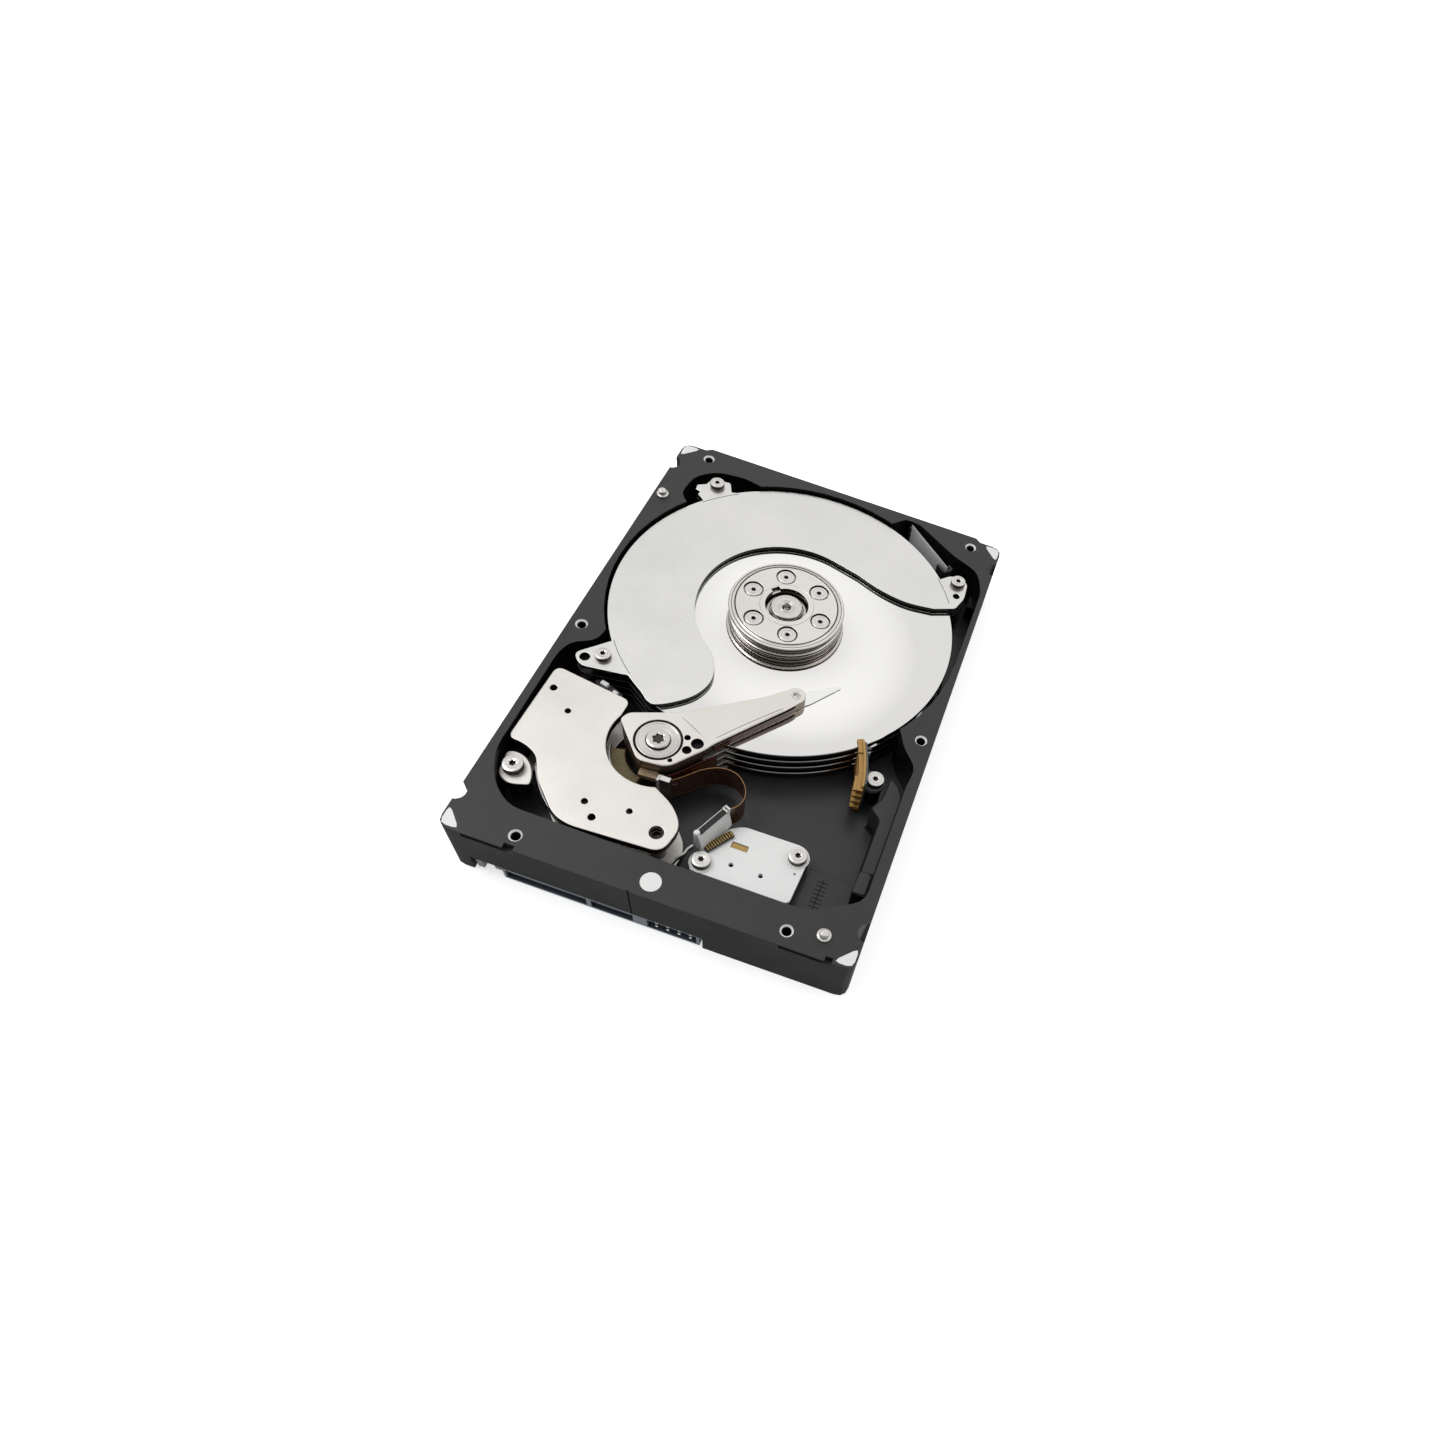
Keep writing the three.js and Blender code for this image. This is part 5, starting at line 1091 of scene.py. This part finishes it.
def make_pouch():
    stride, rows = POUCH_COLUMNS + 1, POUCH_ROWS + 1
    half = stride * rows
    points = [pouch_point(side, c, r) for side in (1, -1) for r in range(rows) for c in range(stride)]
    faces = []
    for r in range(POUCH_ROWS):
        for c in range(POUCH_COLUMNS):
            a, b = r * stride + c, (r + 1) * stride + c
            faces += [(a + 1, a, b, b + 1), (half + a, half + a + 1, half + b + 1, half + b)]
    ring = [*range(stride), *[r * stride + POUCH_COLUMNS for r in range(1, rows)]]
    ring += [POUCH_ROWS * stride + c for c in range(POUCH_COLUMNS - 1, -1, -1)]
    ring += [r * stride for r in range(POUCH_ROWS - 1, 0, -1)]
    faces += [(a, b, half + b, half + a) for a, b in zip(ring, ring[1:] + ring[:1])]
    pouch = new_mesh("filter_pillow", points, faces, 60)
    put(pouch, "cloth", "filter_cloth", "filter_pouch")


def make_filter():
    """The pouch, the sill it stands on, a post at its rear end and a hook round its front end."""
    make_pouch()
    end = FILTER_LENGTH / 2
    pieces = [box("sill", FILTER_PLACE, (FILTER_LENGTH, 2.2), FILTER_ANGLE, 4.7, 5.5, 0.15)]
    for name, along, across, size, top, bevel in (
            ("post", -end - 0.1, 0.3, (0.9, 1.6), 16.2, 0.2),
            ("hook", end - 1.2, -1.4, (3.4, 0.8), 16.7, 0.15),
            ("hook", end + 0.6, -0.2, (0.8, 2.8), 16.7, 0.15),
            ("hook", end - 0.2, 1.3, (1.8, 0.7), 16.7, 0.15)):
        place = spot(FILTER_PLACE, FILTER_ANGLE, along, across)
        pieces.append(box(name, place, size, FILTER_ANGLE, 4.7, top, bevel))
    put(join("filter_clips", pieces), "black_plastic", "black_plastic", "filter_frame")


def make_latch():
    """The two pale tabs and the dark bar of the parking latch, behind the upper yoke plate."""
    bar = plate("latch_bar", rounded([(-38.4, 55.6, 0.5), (-37.6, 54.2, 0.4), (-30.6, 52.0, 0.5),
            (-29.4, 53.4, 0.5), (-31.4, 54.6, 0.5), (-36.4, 56.2, 0.5)]), [], 9.4, 13.2, 0.15)
    put(bar, "black_plastic", "black_plastic")
    tabs = [box("tab", (-35.2, 54.7), (2.2, 1.3), -14, 12.6, 14.2, 0.2),
            box("tab", (-31.6, 53.2), (1.5, 1.0), -14, 12.6, 14.0, 0.2)]
    put(join("latch_tabs", tabs), "white_resin", "white_steel")


# ---- Circuit board and connector ----
def make_board_parts():
    for node, material, width in (
            ("circuit_board", "board", 0.12), ("controller_chip", "chip", 0.12),
            ("motor_driver_chip", "chip", 0.12), ("board_screw", "screw", 0.08)):
        soften(node, material, width)
    leads = [box("lead", (x, 35 + i * 0.52), (0.9, 0.24), 0, 1.65, 2.1, 0.04)
            for i in range(24) for x in (-8.4, 6.4)]
    put(join("chip_leads", leads), "screw", "screw_steel")
    ring = [(0.35, 0.58), (0.75, 0.58), (0.75, 0.64), (0.35, 0.64)]
    pads = [lathe("pad", (-36 + i * 9.1 + (row % 2) * 3, 14.5 + row * 12.4), ring, 20, closed=True, soft=0.01)
            for row in range(5) for i in range(9)]
    put(join("board_pads", pads), "gold", "gold_contacts")
    passives = [box("passive", (-30 + (i % 8) * 6.7, 54 if i < 8 else 26), (1.6, 0.9), 90 * (i % 2),
            1.62, 2.3, 0.08) for i in range(16)]
    put(join("board_capacitors", passives), "ceramic", "board_laminate")


def make_connector():
    soften("interface_connector", "connector", 0.12)
    rows = ((-35.2, -17.4, 15), (-13.4, -5.2, 7))       # first, last and how many
    places = [(first + (last - first) * i / (count - 1), 4.1) for first, last, count in rows
            for i in range(count)]
    contacts = [box("contact", place, (0.62, 5.4), 0, 3.45, 3.6, 0.04) for place in places]
    put(join("connector_contacts", contacts), "gold", "gold_contacts")
    pins = [box("pin", (2 + i * 2.9, 3.2), (0.7, 5.5), 0, z, z + 0.7, 0.08)
            for i in range(4) for z in (1.85, 3.85)]
    put(join("jumper_pins", pins), "screw", "gold_contacts")


def finish_hidden_nodes():
    """CAD nodes that are shown as they are, each with its own finish."""
    for material, nodes in (
            ("copper", ["stator_core"]), ("magnet", ["rotor_magnet"]),
            ("hub", ["platter_spacer_1", "platter_spacer_2", "platter_spacer_3"]),
            ("magnet", ["voice_coil_magnet_bottom", "voice_coil_magnet_top"]),
            ("rubber", ["crash_stop_outer", "crash_stop_inner"])):
        for node in nodes:
            soften(node, material, 0.1)


# ---- Studio ----
def make_floor():
    row = FLOOR_STEPS + 1
    ticks = [-FLOOR_HALF + 2 * FLOOR_HALF * k / FLOOR_STEPS for k in range(row)]
    points = [(x, y, 0) for y in ticks for x in ticks]
    corners = [i * row + k for i in range(FLOOR_STEPS) for k in range(FLOOR_STEPS)]
    faces = [(a, a + 1, a + row + 1, a + row) for a in corners]
    mesh = bpy.data.meshes.new("studio_floor")
    mesh.from_pydata(points, [], faces)
    floor = bpy.data.objects.new("studio_floor", mesh)
    bpy.context.scene.collection.objects.link(floor)
    mesh.materials.append(MATERIAL["floor"])


def facing(tree, vector, direction, low, high, source):
    """A brightness that rises as the world direction turns towards the given one."""
    toward = add(tree, "ShaderNodeVectorMath", operation="DOT_PRODUCT")
    toward.inputs[1].default_value = Vector(direction).normalized()
    tree.links.new(vector, toward.inputs[0])
    return ranged(tree, toward.outputs["Value"], low, high, source)


def make_world():
    """A plain studio: bright above and behind the drive, dimmer in front, with one soft glow."""
    world = bpy.data.worlds.new("studio")
    bpy.context.scene.world = world
    world.use_nodes = True
    tree = world.node_tree
    coords = add(tree, "ShaderNodeTexCoord")
    wall = facing(tree, coords.outputs["Generated"], WALL_DIRECTION, *WALL_BRIGHTNESS, WALL_SPREAD)
    glow = facing(tree, coords.outputs["Generated"], GLOW_DIRECTION, *GLOW_BRIGHTNESS, GLOW_SPREAD)
    total = add(tree, "ShaderNodeMath", operation="ADD")
    tree.links.new(wall, total.inputs[0])
    tree.links.new(glow, total.inputs[1])
    background = tree.nodes["Background"]
    background.inputs["Color"].default_value = DAYLIGHT
    tree.links.new(total.outputs[0], background.inputs["Strength"])


def make_lights():
    for name, place, width, energy in LIGHTS:
        data = bpy.data.lights.new(name, "AREA")
        data.shape = "SQUARE"
        data.size = width
        data.energy = energy
        light = bpy.data.objects.new(name, data)
        light.location = place
        light.rotation_euler = (Vector(LIGHT_TARGET) - Vector(place)).to_track_quat("-Z", "Y").to_euler()
        bpy.context.scene.collection.objects.link(light)


def make_camera():
    azimuth, elevation = math.radians(CAMERA_AZIMUTH), math.radians(CAMERA_ELEVATION)
    roll = math.radians(CAMERA_ROLL)
    back = Vector((math.sin(azimuth) * math.cos(elevation), -math.cos(azimuth) * math.cos(elevation),
            math.sin(elevation)))
    right = Vector((math.cos(azimuth), math.sin(azimuth), 0))
    up = back.cross(right)
    side = right * math.cos(roll) + up * math.sin(roll)
    top = up * math.cos(roll) - right * math.sin(roll)
    data = bpy.data.cameras.new("photo_camera")
    data.lens = CAMERA_LENS
    data.sensor_width = CAMERA_SENSOR
    data.shift_x, data.shift_y = CAMERA_SHIFT
    data.clip_start = CAMERA_CLIP_START
    camera = bpy.data.objects.new("photo_camera", data)
    camera.matrix_world = Matrix.Translation(CAMERA_PLACE) @ Matrix((side, top, back)).transposed().to_4x4()
    bpy.context.scene.collection.objects.link(camera)
    bpy.context.scene.camera = camera


def set_view():
    view = bpy.context.scene.view_settings
    view.view_transform = "Standard"
    view.look = "None"


for build in (
        make_casting, make_floor_details, make_platters, make_clamp, make_hub, make_screws, make_pins,
        make_cover_threads, make_dampers, make_damper_lines, make_yokes, make_yoke_well, make_corner_clamp,
        make_actuator_top, make_actuator_body, make_coil, make_bearing, make_suspensions, make_arm_flex,
        make_flex_clamp, make_flex_cable, make_bracket, make_upright, make_header, make_ramp, make_filter,
        make_latch, make_board_parts, make_connector, finish_hidden_nodes, make_floor, make_world,
        make_lights, make_camera, set_view):
    build()
